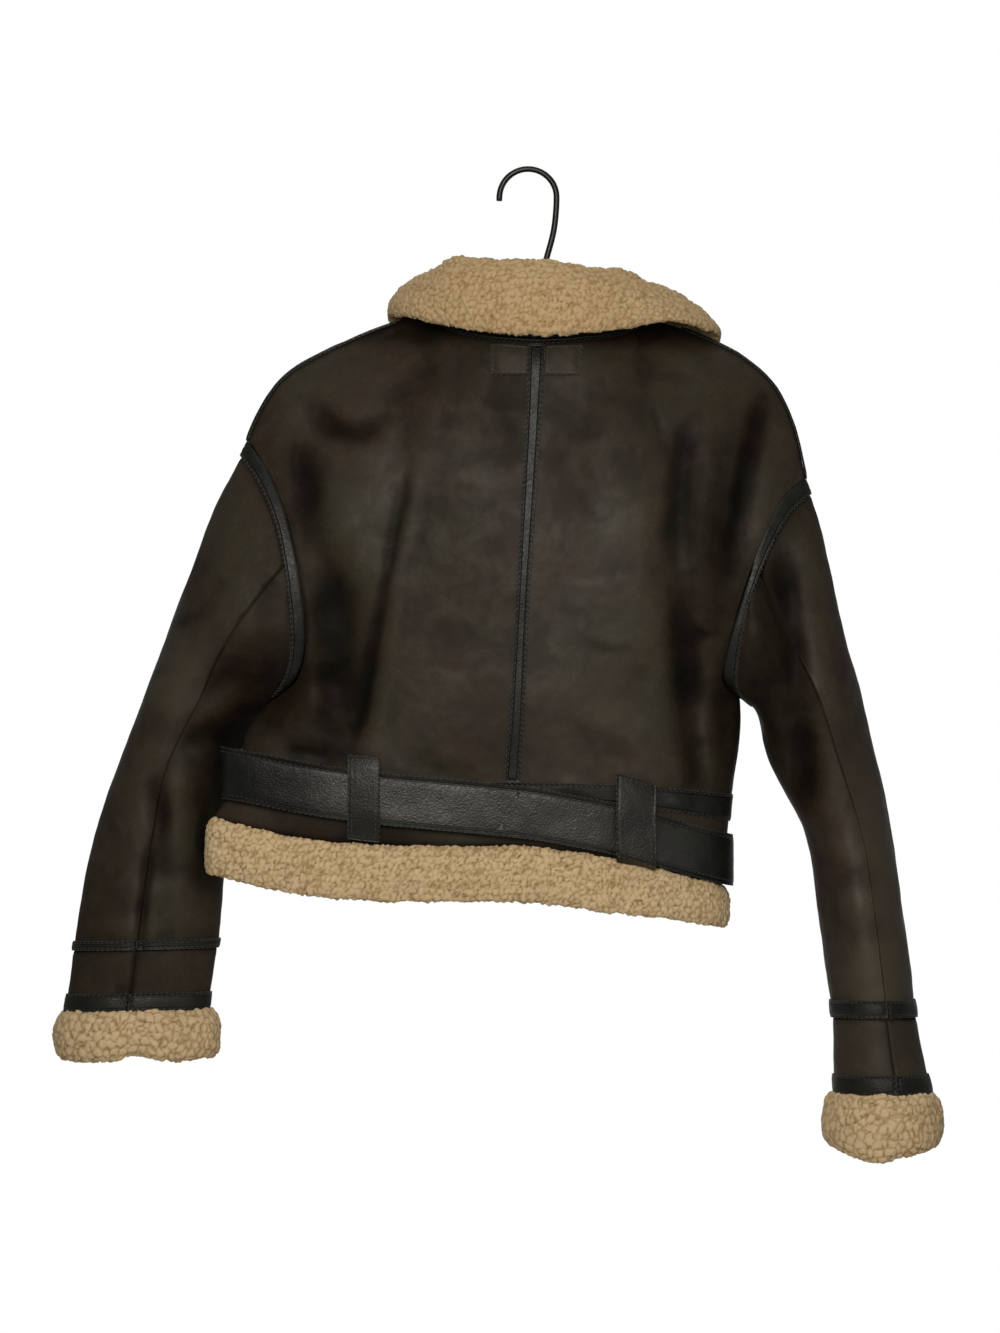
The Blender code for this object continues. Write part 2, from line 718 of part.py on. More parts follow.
def outward(before, after, hub):
    # The level normal of a ring, pointing away from its middle
    run = after - before
    normal = Vector((run.y, -run.x, 0)).normalized()
    return normal if normal.dot(Vector((before.x - hub.x, before.y - hub.y, 0))) > 0 else -normal


def fleece_hem(patches, normals):
    hub = Vector((-45, 0, 0))
    ring, steep = [], []
    for face, word, order in (("front", "left", 1), ("back", "left", -1), ("back", "right", 1),
                              ("front", "right", -1)):
        part = patches[f"band_{face}_{word}"][0][-1][::order]
        norms = normals[f"band_{face}_{word}"][-1][::order]
        skip = 1 if ring else 0
        ring += part[skip:]
        steep += norms[skip:]
    seams = [0, len(FRONT_SHARES) - 1, len(FRONT_SHARES) + 2 * len(BACK_SHARES) - 3, len(ring) - 1]
    sections = []
    for k, base in enumerate(ring):
        out = outward(ring[max(0, k - 1)], ring[min(len(ring) - 1, k + 1)], hub)
        down = Vector((0, 0, -1)) + out * 0.08
        base = base - Vector((0, 0, 0.3 + max(0.0, steep[k].z) * CLOTH))
        sections.append(fleece_section(base, out, down, FLEECE_HEM, between(HEM_HEIGHTS, base.x)))
    for name, a, b in zip(("hem_front_left", "hem_back", "hem_front_right"), seams, seams[1:]):
        part = [list(s) for s in sections[a:b + 1]]
        for at, towards in ((0, 1), (-1, -2)):
            part[at] = [p + (q - p).normalized() * HALF_SEAM for p, q in zip(part[at], part[towards])]
        sweep(name, part, fleece())


def fleece_cuffs(patches, normals):
    for side, word in ((-1, "left"), (1, "right")):
        ring = patches[f"cuff_band_{word}"][0][-1][:-1]
        steep = normals[f"cuff_band_{word}"][-1]
        hub = sum(ring, Vector()) / len(ring)
        low, more = CUFF_HEIGHT[side]
        sections = []
        for k, base in enumerate(ring):
            out = outward(ring[k - 1], ring[(k + 1) % len(ring)], hub)
            height = low + more * max(0.0, -out.y) ** 2
            base = base - Vector((0, 0, 0.3 + max(0.0, steep[k].z) * CLOTH))
            sections.append(fleece_section(base, out, Vector((0, 0, -1)), FLEECE_CUFF, height))
        sweep(f"fleece_cuff_{word}", sections, fleece(), closed=True)


def collar():
    # Stand, fold and fall in one thick layer, from one front end round the back to the other
    first, last = COLLAR[0]["angle"], COLLAR[-1]["angle"]
    stations = []
    for k in range(COLLAR_STATIONS + 1):
        angle = first + (last - first) * k / COLLAR_STATIONS
        foot = neck_point(angle)
        out = Vector((-math.sin(math.radians(angle)) * NECK_HALF_DEPTH,
                      -math.cos(math.radians(angle)) * NECK_HALF_WIDTH, 0)).normalized()
        rise, spread, drop = (by_angle(angle, name) for name in ("rise", "spread", "drop"))
        base = COLLAR_BASE + 2.4 * smooth((abs(angle) - 62) / 70)
        middle = [Vector((-1.5, base)), Vector((-3.5, rise * 0.55)), Vector((-0.5, rise - 7)),
                  Vector((7.5, rise)), Vector((10 + 0.32 * spread, rise * 0.76 + drop * 0.24)),
                  Vector((7 + 0.7 * spread, rise * 0.36 + drop * 0.64)), Vector((spread, drop))]
        stations.append([foot + out * o + Vector((0, 0, h)) for o, h in thickened(middle)])
    sweep("collar", stations, fleece())


def thickened(middle):
    # A closed outline one wall thick round an open line of (out, height) places
    outer, inner = [], []
    for k, p in enumerate(middle):
        run = (middle[min(k + 1, len(middle) - 1)] - middle[max(k - 1, 0)]).normalized()
        across = Vector((-run.y, run.x)) * COLLAR_HALF
        outer.append(p + across)
        inner.append(p - across)
    start = (middle[0] - middle[1]).normalized() * COLLAR_HALF * 0.9
    end = (middle[-1] - middle[-2]).normalized() * COLLAR_HALF
    return [middle[0] + start] + outer + [middle[-1] + end] + inner[::-1]


# Belt, loops and buckle

def body_ring():
    # Columns round the whole body, from the front's right half by the back to the front's middle
    ring = [(1, "front", s) for s in FRONT_SHARES if s >= BELT_START]
    ring += [(1, "back", s) for s in BACK_SHARES[-2::-1]]
    ring += [(-1, "back", s) for s in BACK_SHARES[1:]]
    ring += [(-1, "front", s) for s in FRONT_SHARES[-2::-1]]
    return ring + [(1, "front", s) for s in FRONT_SHARES[1:] if s <= BELT_TIP]


def belt_height(x):
    return between(BELT_LINE, x)


def level_at(side, face, s, z):
    low, high = UNDERARM, HEM
    for _ in range(22):
        mid = (low + high) / 2
        if body_point(side, face, s, mid).z > z:
            low = mid
        else:
            high = mid
    return low


def outside_at(side, face, s, z, lines):
    # A point on the folded body at this height and how it faces, level
    u = level_at(side, face, s, z)
    p = body_point(side, face, s, u)
    near = 0.02
    across = body_point(side, face, min(1.0, s + near), u) - body_point(side, face, max(0.0, s - near), u)
    normal = outward(Vector(), across, Vector())
    if normal.dot(Vector((p.x + 45, p.y * 2, 0))) < 0:
        normal = -normal
    return p + normal * max(-3.0, fold_depth(p, normal, lines, "body")), normal


def belt_path():
    lines = fold_lines()
    bases, normals, reaches = [], [], []
    for side, face, s in body_ring():
        z = belt_height(body_point(side, face, s, WAIST).x)
        base, normal = outside_at(side, face, s, z, lines)
        reach = 0.0
        for share in (-1.0, -0.5, 0.0, 0.5, 1.0):
            near, _ = outside_at(side, face, s, z + share * BELT_HALF, lines)
            reach = max(reach, (near - base).dot(normal))
        bases.append(base)
        normals.append(normal)
        reaches.append(reach)
    wide = [max(reaches[max(0, k - 1):k + 2]) for k in range(len(reaches))]
    over = len([s for s in FRONT_SHARES if 0 < s <= BELT_TIP])
    path = []
    for k, (base, normal) in enumerate(zip(bases, normals)):
        near = wide[max(0, k - 1):k + 2]
        lap = smooth((k - (len(bases) - over - 2)) / 2) * (BELT_THICK + 0.6)
        path.append((base + normal * (sum(near) / len(near) + LIFT + STRIP + 1.2 + lap), normal))
    return path


def belt_section(point, normal, half=BELT_HALF, thick=BELT_THICK):
    up = Vector((0, 0, half))
    return [point - up, point + up, point + up + normal * thick, point - up + normal * thick]


def belt(path):
    stations = [belt_section(point, normal) for point, normal in path]
    tip = path[-1][0] + (path[-1][0] - path[-2][0]).normalized() * 14
    stations.append(belt_section(tip, path[-1][1], half=BELT_HALF * 0.45))
    sweep("belt", stations, leather())


def belt_loops(path):
    # Each loop stands on the body above and below the belt and passes over it
    lines = fold_lines()
    for loop in LOOPS:
        stations = []
        for share in (-1, 0, 1):
            x = loop["x"] + share * loop["width"] / 2
            side = -1 if x < CENTRE_BACK[8]["x"] else 1
            s = share_at(side, x)
            z = belt_height(x)
            out = max((p + n * BELT_THICK - Vector((x, 0, 0))).dot(Vector((0, -1, 0)))
                      for p, n in path if abs(p.x - x) < 26 and p.y < 0)
            feet = [outside_at(side, "back", s, z + h, lines)[0] for h in (loop["above"], -loop["below"])]
            top, bottom = (Vector((x, foot.y - STRIP - LIFT - LOOP_CLEAR, foot.z)) for foot in feet)
            raised = -out - 0.5
            face = [top, Vector((x, raised, z + BELT_HALF + 1.5)), Vector((x, raised, z - BELT_HALF - 1.5)),
                    bottom]
            back = [p + Vector((0, -2.0, 0)) for p in face]
            back[0] += Vector((0, 0, 2.0))
            back[-1] -= Vector((0, 0, 2.0))
            stations.append(face + back[::-1])
        sweep(loop["name"], stations, leather())


def share_at(side, x):
    low, high = 0.0, 1.0
    for _ in range(22):
        mid = (low + high) / 2
        if abs(body_point(side, "back", mid, WAIST).x - CENTRE_BACK[8]["x"]) < abs(x - CENTRE_BACK[8]["x"]):
            low = mid
        else:
            high = mid
    return low


def buckle(path):
    # A plain frame on the belt's outer layer at the front, with its prong across it
    in_front = [pair for pair in path if pair[0].y > 0]
    point, normal = min(in_front, key=lambda pair: abs(pair[0].x - BUCKLE_X) - pair[0].y * 0.3)
    front = point + normal * (BELT_THICK + 0.4)
    half_wide, half_tall, wire = 19.0, BELT_HALF + 5, 3.5
    corners = []
    for x, z in ((-1, -1), (1, -1), (1, 1), (-1, 1)):
        outer = front + Vector((x * half_wide, 0, z * half_tall))
        inner = outer - Vector((x * wire, 0, z * wire))
        corners.append([outer, inner, inner + Vector((0, wire, 0)), outer + Vector((0, wire, 0))])
    sweep("buckle_frame", corners, blackened_steel(), closed=True)
    bm = bmesh.new()
    bmesh.ops.create_cube(bm, size=1)
    for v in bm.verts:
        v.co = Vector((front.x + v.co.x * (half_wide * 2 + 2), front.y + wire + 1.6 + v.co.y * 2.4,
                       front.z + v.co.z * 4.5))
    finish("buckle_prong", bm, blackened_steel())


# Hanger

def tube(name, line, radius, made_of):
    sides = 8
    stations = []
    for k, p in enumerate(line):
        run = (line[min(k + 1, len(line) - 1)] - line[max(k - 1, 0)]).normalized()
        side = Vector((0, 1, 0))
        across = run.cross(side).normalized()
        stations.append([p + (side * math.cos(a) + across * math.sin(a)) * radius
                         for a in (2 * math.pi * n / sides for n in range(sides))])
    sweep(name, stations, made_of)


def hook():
    top = Vector((0, 0, WIRE_RADIUS - HOOK_RADIUS))
    arc = []
    for k in range(13):
        turn = math.radians(186 - 186 * k / 12)
        arc.append(top + Vector((math.cos(turn), 0, math.sin(turn))) * HOOK_RADIUS)
    foot = [Vector((x, 0, z)) for x, z in HOOK_FOOT]
    tube("hanger_hook", arc + foot, WIRE_RADIUS, blackened_steel())


def hanger():
    # Arms that follow the inside of the shoulders, so the jacket rests on them
    arms = {}
    for side in (-1, 1):
        line = [seam_point(side, share) for share in HANGER_LINE]
        arms[side] = [p - Vector((0, 0, CLOTH + HANGER_DROP)) for p in line]
    x, z = HANGER_MIDDLE
    middle = Vector((x, 2, z))
    line = arms[-1][::-1] + [middle] + arms[1]
    stations = []
    for k, p in enumerate(line):
        run = (line[min(k + 1, len(line) - 1)] - line[max(k - 1, 0)]).normalized()
        down = Vector((run.z, 0, -run.x)) * (1 if run.x > 0 else -1)
        end = 0.7 if k in (0, len(line) - 1) else 1.0
        deep, half = HANGER_DEEP * end, HANGER_HALF_THICK
        shape = [(0, 0), (half * 0.7, 1.2), (half, 5), (half, deep - 4), (half * 0.6, deep),
                 (-half * 0.6, deep), (-half, deep - 4), (-half, 5), (-half * 0.7, 1.2)]
        stations.append([p + Vector((0, y, 0)) + down * d for y, d in shape])
    sweep("hanger_arms", stations, hanger_plastic())


def build():
    for obj in list(bpy.data.objects):
        bpy.data.objects.remove(obj)
    patches = folded(garment_patches())
    normals = shared_normals(patches)
    cloth_walls(patches, normals)
    seam_strips(patches, normals)
    fleece_hem(patches, normals)
    fleece_cuffs(patches, normals)
    collar()
    path = belt_path()
    belt(path)
    belt_loops(path)
    buckle(path)
    hook()
    hanger()


build()
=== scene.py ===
import math

import bmesh
import bpy
import numpy as np
from mathutils import Euler, Matrix, Vector, noise
from mathutils.bvhtree import BVHTree
from mathutils.kdtree import KDTree


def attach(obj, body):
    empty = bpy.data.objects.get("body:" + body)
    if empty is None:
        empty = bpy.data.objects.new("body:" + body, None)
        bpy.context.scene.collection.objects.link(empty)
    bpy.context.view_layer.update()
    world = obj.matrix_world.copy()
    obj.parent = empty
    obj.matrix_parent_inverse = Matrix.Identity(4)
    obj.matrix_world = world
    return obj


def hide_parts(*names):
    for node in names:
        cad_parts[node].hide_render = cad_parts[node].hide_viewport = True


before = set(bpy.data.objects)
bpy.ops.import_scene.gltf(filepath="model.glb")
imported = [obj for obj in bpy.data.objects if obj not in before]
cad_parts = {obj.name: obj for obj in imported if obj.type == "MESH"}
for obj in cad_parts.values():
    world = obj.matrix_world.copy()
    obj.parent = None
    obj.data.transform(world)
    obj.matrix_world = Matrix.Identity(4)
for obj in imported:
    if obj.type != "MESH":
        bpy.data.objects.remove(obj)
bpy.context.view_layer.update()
mm = 0.001
print("frame loaded:", len(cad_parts), "nodes")


# Materials

def toLinear(hexColour):
    # An sRGB hex colour as the linear values that a shader takes
    parts = [int(hexColour[i:i + 2], 16) / 255 for i in (1, 3, 5)]
    return [c / 12.92 if c <= 0.04045 else ((c + 0.055) / 1.055) ** 2.4 for c in parts] + [1.0]


def addNode(tree, kind, settings=None, links=None):
    # One node with its settings, its plain values and whatever is linked into it
    node = tree.nodes.new(kind)
    for name, value in (settings or {}).items():
        setattr(node, name, value)
    for name, value in (links or {}).items():
        if isinstance(value, bpy.types.NodeSocket):
            tree.links.new(value, node.inputs[name])
        else:
            node.inputs[name].default_value = value
    return node


def startMaterial(name, settings):
    material = bpy.data.materials.new(name)
    material.use_nodes = True
    tree = material.node_tree
    shader = tree.nodes["Principled BSDF"]
    for socket, value in settings.items():
        shader.inputs[socket].default_value = value
    return material, tree, shader


def spots(tree, place, size, detail=2.0, rough=0.5, distort=0.0):
    # Cloudy noise whose blotches are about this size across, in mm
    return addNode(tree, "ShaderNodeTexNoise", {"noise_dimensions": "3D"},
                   {"Vector": place, "Scale": 1 / (size * mm), "Detail": detail, "Roughness": rough,
                    "Distortion": distort}).outputs["Fac"]


def span(tree, value, low, high, toLow=0.0, toHigh=1.0):
    # A smooth step from one value to another between two levels
    return addNode(tree, "ShaderNodeMapRange", {"interpolation_type": "SMOOTHSTEP"},
                   {"Value": value, "From Min": low, "From Max": high, "To Min": toLow,
                    "To Max": toHigh}).outputs["Result"]


def mixed(tree, share, first, second):
    # Two colours mixed. The node's colour sockets are inputs 6 and 7 and output 2
    node = addNode(tree, "ShaderNodeMix", {"data_type": "RGBA", "blend_type": "MIX"}, {0: share})
    for index, value in ((6, first), (7, second)):
        if isinstance(value, bpy.types.NodeSocket):
            tree.links.new(value, node.inputs[index])
        else:
            node.inputs[index].default_value = value
    return node.outputs[2]


def reckoned(tree, how, first, second):
    return addNode(tree, "ShaderNodeMath", {"operation": how}, {0: first, 1: second}).outputs[0]


def attribute(tree, name):
    return addNode(tree, "ShaderNodeAttribute", {"attribute_name": name}).outputs["Fac"]


def bump(tree, height, depth, strength=1.0, normal=None):
    links = {"Height": height, "Distance": depth * mm, "Strength": strength}
    if normal:
        links["Normal"] = normal
    return addNode(tree, "ShaderNodeBump", links=links).outputs["Normal"]


def groove(tree, inset, half):
    # 1 along a line this far in from a piece's edge, 0 away from it, in mm
    away = addNode(tree, "ShaderNodeMath", {"operation": "ABSOLUTE"},
                   {0: reckoned(tree, "SUBTRACT", attribute(tree, "edgeIn"), inset * mm)}).outputs[0]
    return span(tree, away, 0.0, half * mm, 1.0, 0.0)


suedeSettings = {
    # The fold and shadow colours are painted shade. The rubbed colour is wear, and also painted highlight on
    # ridges and painted light in pale patches
    "brown": "#281e16", "grey": "#27251b", "dark": "#16120d", "rust": "#302016", "rubbed": "#403a2d",
    "fold": "#0c0a07", "shadow": "#070605",
    "patch": 90.0, "mottle": 30.0, "speck": 3.2, "wrinkle": 11.0, "grain": 1.1,   # sizes in mm
}


def bondedSuede():
    # Bonded suede: a knit with a brushed and washed coating. It is matt, with a soft cloudy shade from
    # brown to grey-green, a fine nap and shallow hand wrinkles. Fold troughs are painted darker as shade,
    # and ridges go greyer, partly as rubbed wear and partly as painted highlight
    s = suedeSettings
    material, tree, shader = startMaterial("bonded_suede", {
        "Roughness": 0.55, "IOR": 1.45, "Specular IOR Level": 0.24, "Sheen Weight": 0.0})
    place = addNode(tree, "ShaderNodeTexCoord").outputs["Object"]
    patches = spots(tree, place, s["patch"], 3.0, 0.55, 0.3)
    mottle = spots(tree, place, s["mottle"], 5.0, 0.6, 0.5)
    speck = spots(tree, place, s["speck"], 3.0, 0.6)
    fold = attribute(tree, "fold")
    colour = mixed(tree, span(tree, patches, 0.34, 0.66), toLinear(s["brown"]), toLinear(s["grey"]))
    colour = mixed(tree, span(tree, mottle, 0.3, 0.62, 0.45, 0.0), colour, toLinear(s["dark"]))
    rust = spots(tree, place, s["patch"] * 0.45, 4.0, 0.6, 0.5)
    colour = mixed(tree, span(tree, rust, 0.5, 0.72, 0.0, 0.5), colour, toLinear(s["rust"]))
    rubbed = reckoned(tree, "MULTIPLY", span(tree, speck, 0.35, 0.7),
                      span(tree, mottle, 0.42, 0.7, 0.0, 0.22))
    colour = mixed(tree, rubbed, colour, toLinear(s["rubbed"]))
    # Ridges of the folds go greyer: rubbed wear with a painted highlight
    ridge = reckoned(tree, "MULTIPLY", span(tree, fold, 0.1, 1.0, 0.0, 0.25),
                     span(tree, speck, 0.3, 0.65, 0.6, 1.0))
    colour = mixed(tree, ridge, colour, toLinear(s["rubbed"]))
    # Painted shade: the troughs of the folds go darker
    colour = mixed(tree, span(tree, fold, -1.0, -0.15, 0.3, 0.0), colour, toLinear(s["fold"]))
    # Painted shade from the shade attribute darkens the colour and dulls the gloss, and below 0 painted light
    # turns it paler
    shade = attribute(tree, "shade")
    colour = mixed(tree, span(tree, shade, -0.5, 0.0, 0.6, 0.0), colour, toLinear(s["rubbed"]))
    dark = reckoned(tree, "MULTIPLY", span(tree, shade, 0.0, 1.0), span(tree, mottle, 0.2, 0.6, 0.95, 0.7))
    colour = mixed(tree, dark, colour, toLinear(s["shadow"]))
    tree.links.new(span(tree, shade, -0.5, 0.8, 0.34, 0.05), shader.inputs["Specular IOR Level"])
    tree.links.new(colour, shader.inputs["Base Color"])
    tree.links.new(span(tree, mottle, 0.3, 0.7, 0.62, 0.48), shader.inputs["Roughness"])
    normal = bump(tree, spots(tree, place, s["wrinkle"], 4.0, 0.55, 0.4), 0.7, 0.5)
    normal = bump(tree, spots(tree, place, s["grain"], 2.0, 0.5), 0.16, 0.5, normal)
    tree.links.new(normal, shader.inputs["Normal"])
    return material


leatherSettings = {
    "black": "#0a0b08", "worn": "#15160f", "edgeWorn": "#2c2c24", "shadow": "#040404",
    "pebble": 1.5, "blotch": 22.0, "speck": 2.4, "wave": 14.0,   # sizes in mm
    "edgeWide": 1.6, "lineHalf": 1.3,
}


def pebbledLeather(name, lineInset, shine, gloss):
    # Pebbled cowhide: drum-tumbled and dyed black, so the light catches on small round grains, with
    # greyer rubbed edges and, at lineInset mm from the edge, a pressed line beside the stitching
    s = leatherSettings
    material, tree, shader = startMaterial(name, {
        "Roughness": shine, "IOR": 1.5, "Specular IOR Level": gloss, "Coat Weight": 0.0})
    place = addNode(tree, "ShaderNodeTexCoord").outputs["Object"]
    cells = addNode(tree, "ShaderNodeTexVoronoi", {"feature": "SMOOTH_F1"}, {
        "Vector": place, "Scale": 1 / (s["pebble"] * mm), "Smoothness": 0.35}).outputs["Distance"]
    blotch = spots(tree, place, s["blotch"], 4.0, 0.6, 0.4)
    fine = spots(tree, place, s["speck"], 3.0, 0.6)
    edge = attribute(tree, "edgeIn")
    colour = mixed(tree, span(tree, blotch, 0.42, 0.7), toLinear(s["black"]), toLinear(s["worn"]))
    rubbed = reckoned(tree, "MULTIPLY", span(tree, edge, 0.0, s["edgeWide"] * mm, 0.8, 0.0),
                      span(tree, fine, 0.4, 0.6))
    colour = mixed(tree, rubbed, colour, toLinear(s["edgeWorn"]))
    # Painted shade: the shade attribute darkens the colour towards the shadow colour and dulls the gloss
    shade = attribute(tree, "shade")
    colour = mixed(tree, span(tree, shade, 0.0, 1.0, 0.0, 0.7), colour, toLinear(s["shadow"]))
    tree.links.new(colour, shader.inputs["Base Color"])
    tree.links.new(span(tree, shade, 0.0, 1.0, gloss, gloss * 0.2), shader.inputs["Specular IOR Level"])
    tree.links.new(span(tree, fine, 0.3, 0.7, shine + 0.1, shine - 0.06), shader.inputs["Roughness"])
    normal = bump(tree, spots(tree, place, s["wave"], 3.0, 0.55, 0.3), 0.9, 0.5)
    if lineInset:
        normal = bump(tree, groove(tree, lineInset, s["lineHalf"]), -0.9, 0.9, normal)
    normal = bump(tree, cells, -0.28, 0.65, normal)
    tree.links.new(normal, shader.inputs["Normal"])
    return material


fleeceSettings = {
    # The deep and low colours are painted shade in the gaps between the nubs, the curl gap colour is painted
    # shade in the hollows of the curl bump, and the tan is painted shade on the collar's copy
    "deep": "#5f4b30", "low": "#9a825d", "tip": "#c3ae8b", "sheen": "#e8d6b4",
    "tired": "#927a54", "curlShade": "#7f6743", "shadedTan": "#86663a",
    "nub": 5.0, "curl": 0.9, "patch": 40.0,   # sizes in mm
}


def curledFleece(name, inside=False, shadeShare=0.0):
    # Curled polyester fleece: a knitted pile tumbled into small nubs, matt. Its colour is painted brown as
    # shade in the gaps between the nubs and in the hollows of the curls, and pale on the tips. The inside of
    # the cloth has its nubs in the bump only, and the last argument is how far the colour goes towards a
    # darker tan, as painted shade
    s = fleeceSettings
    material, tree, shader = startMaterial(name, {
        "Roughness": 0.9, "Specular IOR Level": 0.15, "Sheen Weight": 0.25, "Sheen Roughness": 0.6,
        "Sheen Tint": toLinear(s["sheen"])})
    place = addNode(tree, "ShaderNodeTexCoord").outputs["Object"]
    curl = spots(tree, place, s["curl"], 4.0, 0.7, 1.2)
    patches = spots(tree, place, s["patch"], 3.0, 0.6)
    if inside:
        cells = addNode(tree, "ShaderNodeTexVoronoi", {"feature": "DISTANCE_TO_EDGE"},
                        {"Vector": place, "Scale": 1 / (s["nub"] * mm)}).outputs["Distance"]
        height = span(tree, cells, 0.0, 0.32)
        normal = bump(tree, height, 1.6, 0.8)
    else:
        height = attribute(tree, "pile")
        normal = None
    # Painted shade: the colour goes brown in the gaps between nubs and pale on their tips
    colour = mixed(tree, span(tree, height, 0.0, 0.45), toLinear(s["deep"]), toLinear(s["low"]))
    colour = mixed(tree, span(tree, height, 0.35, 1.0), colour, toLinear(s["tip"]))
    colour = mixed(tree, span(tree, patches, 0.4, 0.66, 0.0, 0.13), colour, toLinear(s["tired"]))
    # Painted shade in the hollows of the curl bump
    colour = mixed(tree, span(tree, curl, 0.3, 0.75, 0.28, 0.0), colour, toLinear(s["curlShade"]))
    # Painted shade: the collar's copy goes towards a darker tan
    if shadeShare:
        colour = mixed(tree, shadeShare, colour, toLinear(s["shadedTan"]))
    tree.links.new(colour, shader.inputs["Base Color"])
    normal = bump(tree, curl, 0.5, 0.8, normal)
    tree.links.new(normal, shader.inputs["Normal"])
    return material


steelSettings = {"black": "#070707", "rubbed": "#1a1918", "mark": 3.0}


def blackSteel():
    # Steel wire, blackened and lacquered: satin, with fine rub marks that turn lighter
    s = steelSettings
    material, tree, shader = startMaterial("blackened_steel", {
        "Metallic": 0.2, "Roughness": 0.4, "Specular IOR Level": 0.3, "Coat Weight": 0.1,
        "Coat Roughness": 0.25})
    place = addNode(tree, "ShaderNodeTexCoord").outputs["Object"]
    rub = spots(tree, place, s["mark"], 5.0, 0.7, 0.5)
    colour = mixed(tree, span(tree, rub, 0.5, 0.75), toLinear(s["black"]), toLinear(s["rubbed"]))
    tree.links.new(colour, shader.inputs["Base Color"])
    tree.links.new(span(tree, rub, 0.3, 0.7, 0.3, 0.5), shader.inputs["Roughness"])
    tree.links.new(bump(tree, rub, 0.05, 0.5), shader.inputs["Normal"])
    return material


plasticSettings = {"black": "#121212", "pale": "#1e1e1d", "grain": 0.8}


def mouldedPlastic():
    # Moulded ABS: matt black with a fine spark-eroded grain
    s = plasticSettings
    material, tree, shader = startMaterial("moulded_abs", {"Roughness": 0.5, "IOR": 1.5})
    place = addNode(tree, "ShaderNodeTexCoord").outputs["Object"]
    grain = spots(tree, place, s["grain"], 2.0)
    colour = mixed(tree, span(tree, grain, 0.4, 0.7), toLinear(s["black"]), toLinear(s["pale"]))
    tree.links.new(colour, shader.inputs["Base Color"])
    tree.links.new(bump(tree, grain, 0.08, 0.5), shader.inputs["Normal"])
    return material


threadSettings = {"black": "#1d1c19", "lit": "#34322c", "twist": 0.6}


def bondedThread():
    # Bonded polyester thread: dull black and twisted, with soft painted highlights scattered along each
    # stitch
    s = threadSettings
    material, tree, shader = startMaterial("bonded_thread", {"Roughness": 0.6, "Sheen Weight": 0.2})
    place = addNode(tree, "ShaderNodeTexCoord").outputs["Object"]
    twist = spots(tree, place, s["twist"], 2.0)
    colour = mixed(tree, span(tree, twist, 0.4, 0.6), toLinear(s["black"]), toLinear(s["lit"]))
    tree.links.new(colour, shader.inputs["Base Color"])
    tree.links.new(bump(tree, twist, 0.1, 0.6), shader.inputs["Normal"])
    return material


finishes = {
    "suede": bondedSuede(),
    "trim": pebbledLeather("pebbled_leather_trim", lineInset=2.2, shine=0.46, gloss=0.27),
    "belt": pebbledLeather("pebbled_leather_belt", lineInset=3.5, shine=0.42, gloss=0.36),
    "loop": pebbledLeather("pebbled_leather_loop", lineInset=0, shine=0.42, gloss=0.28),
    "fleece": curledFleece("curled_fleece"),
    # The collar's fleece is a copy painted darker and warmer as shade
    "collar": curledFleece("curled_fleece_collar_shaded", shadeShare=0.3),
    "inside": curledFleece("curled_fleece_inside", inside=True),
    "steel": blackSteel(),
    "plastic": mouldedPlastic(),
    "thread": bondedThread(),
}
print("materials made:", len(finishes))


# Cloth: each piece is a copy of its solid, merged, quilted into quads, smoothed and creased

clothSettings = {
    "rimAngle": 52.0,       # degrees between faces past which an edge is a cut edge
    "roundIn": 1.7,         # mm over which a cut edge rounds off, and by how much
    "roundBy": 0.55,
    "facingFull": 0.4,      # how far a wall must face back or front for a fold to show in full
    "facingFrom": -0.25,    # where a fold starts to show on a wall that turns away
    # A fold's colour is painted shade in its troughs and painted highlight, with rubbed wear, on its ridges
    "foldFull": 0.6,        # mm that a ridge or trough stands off for its full colour
    "foldIn": 8.0,          # mm from a cut edge over which that colour fades in
    "evenSteps": 24,        # rounds that even out the cloth which it is measured against
    "evenBy": 0.9,
}

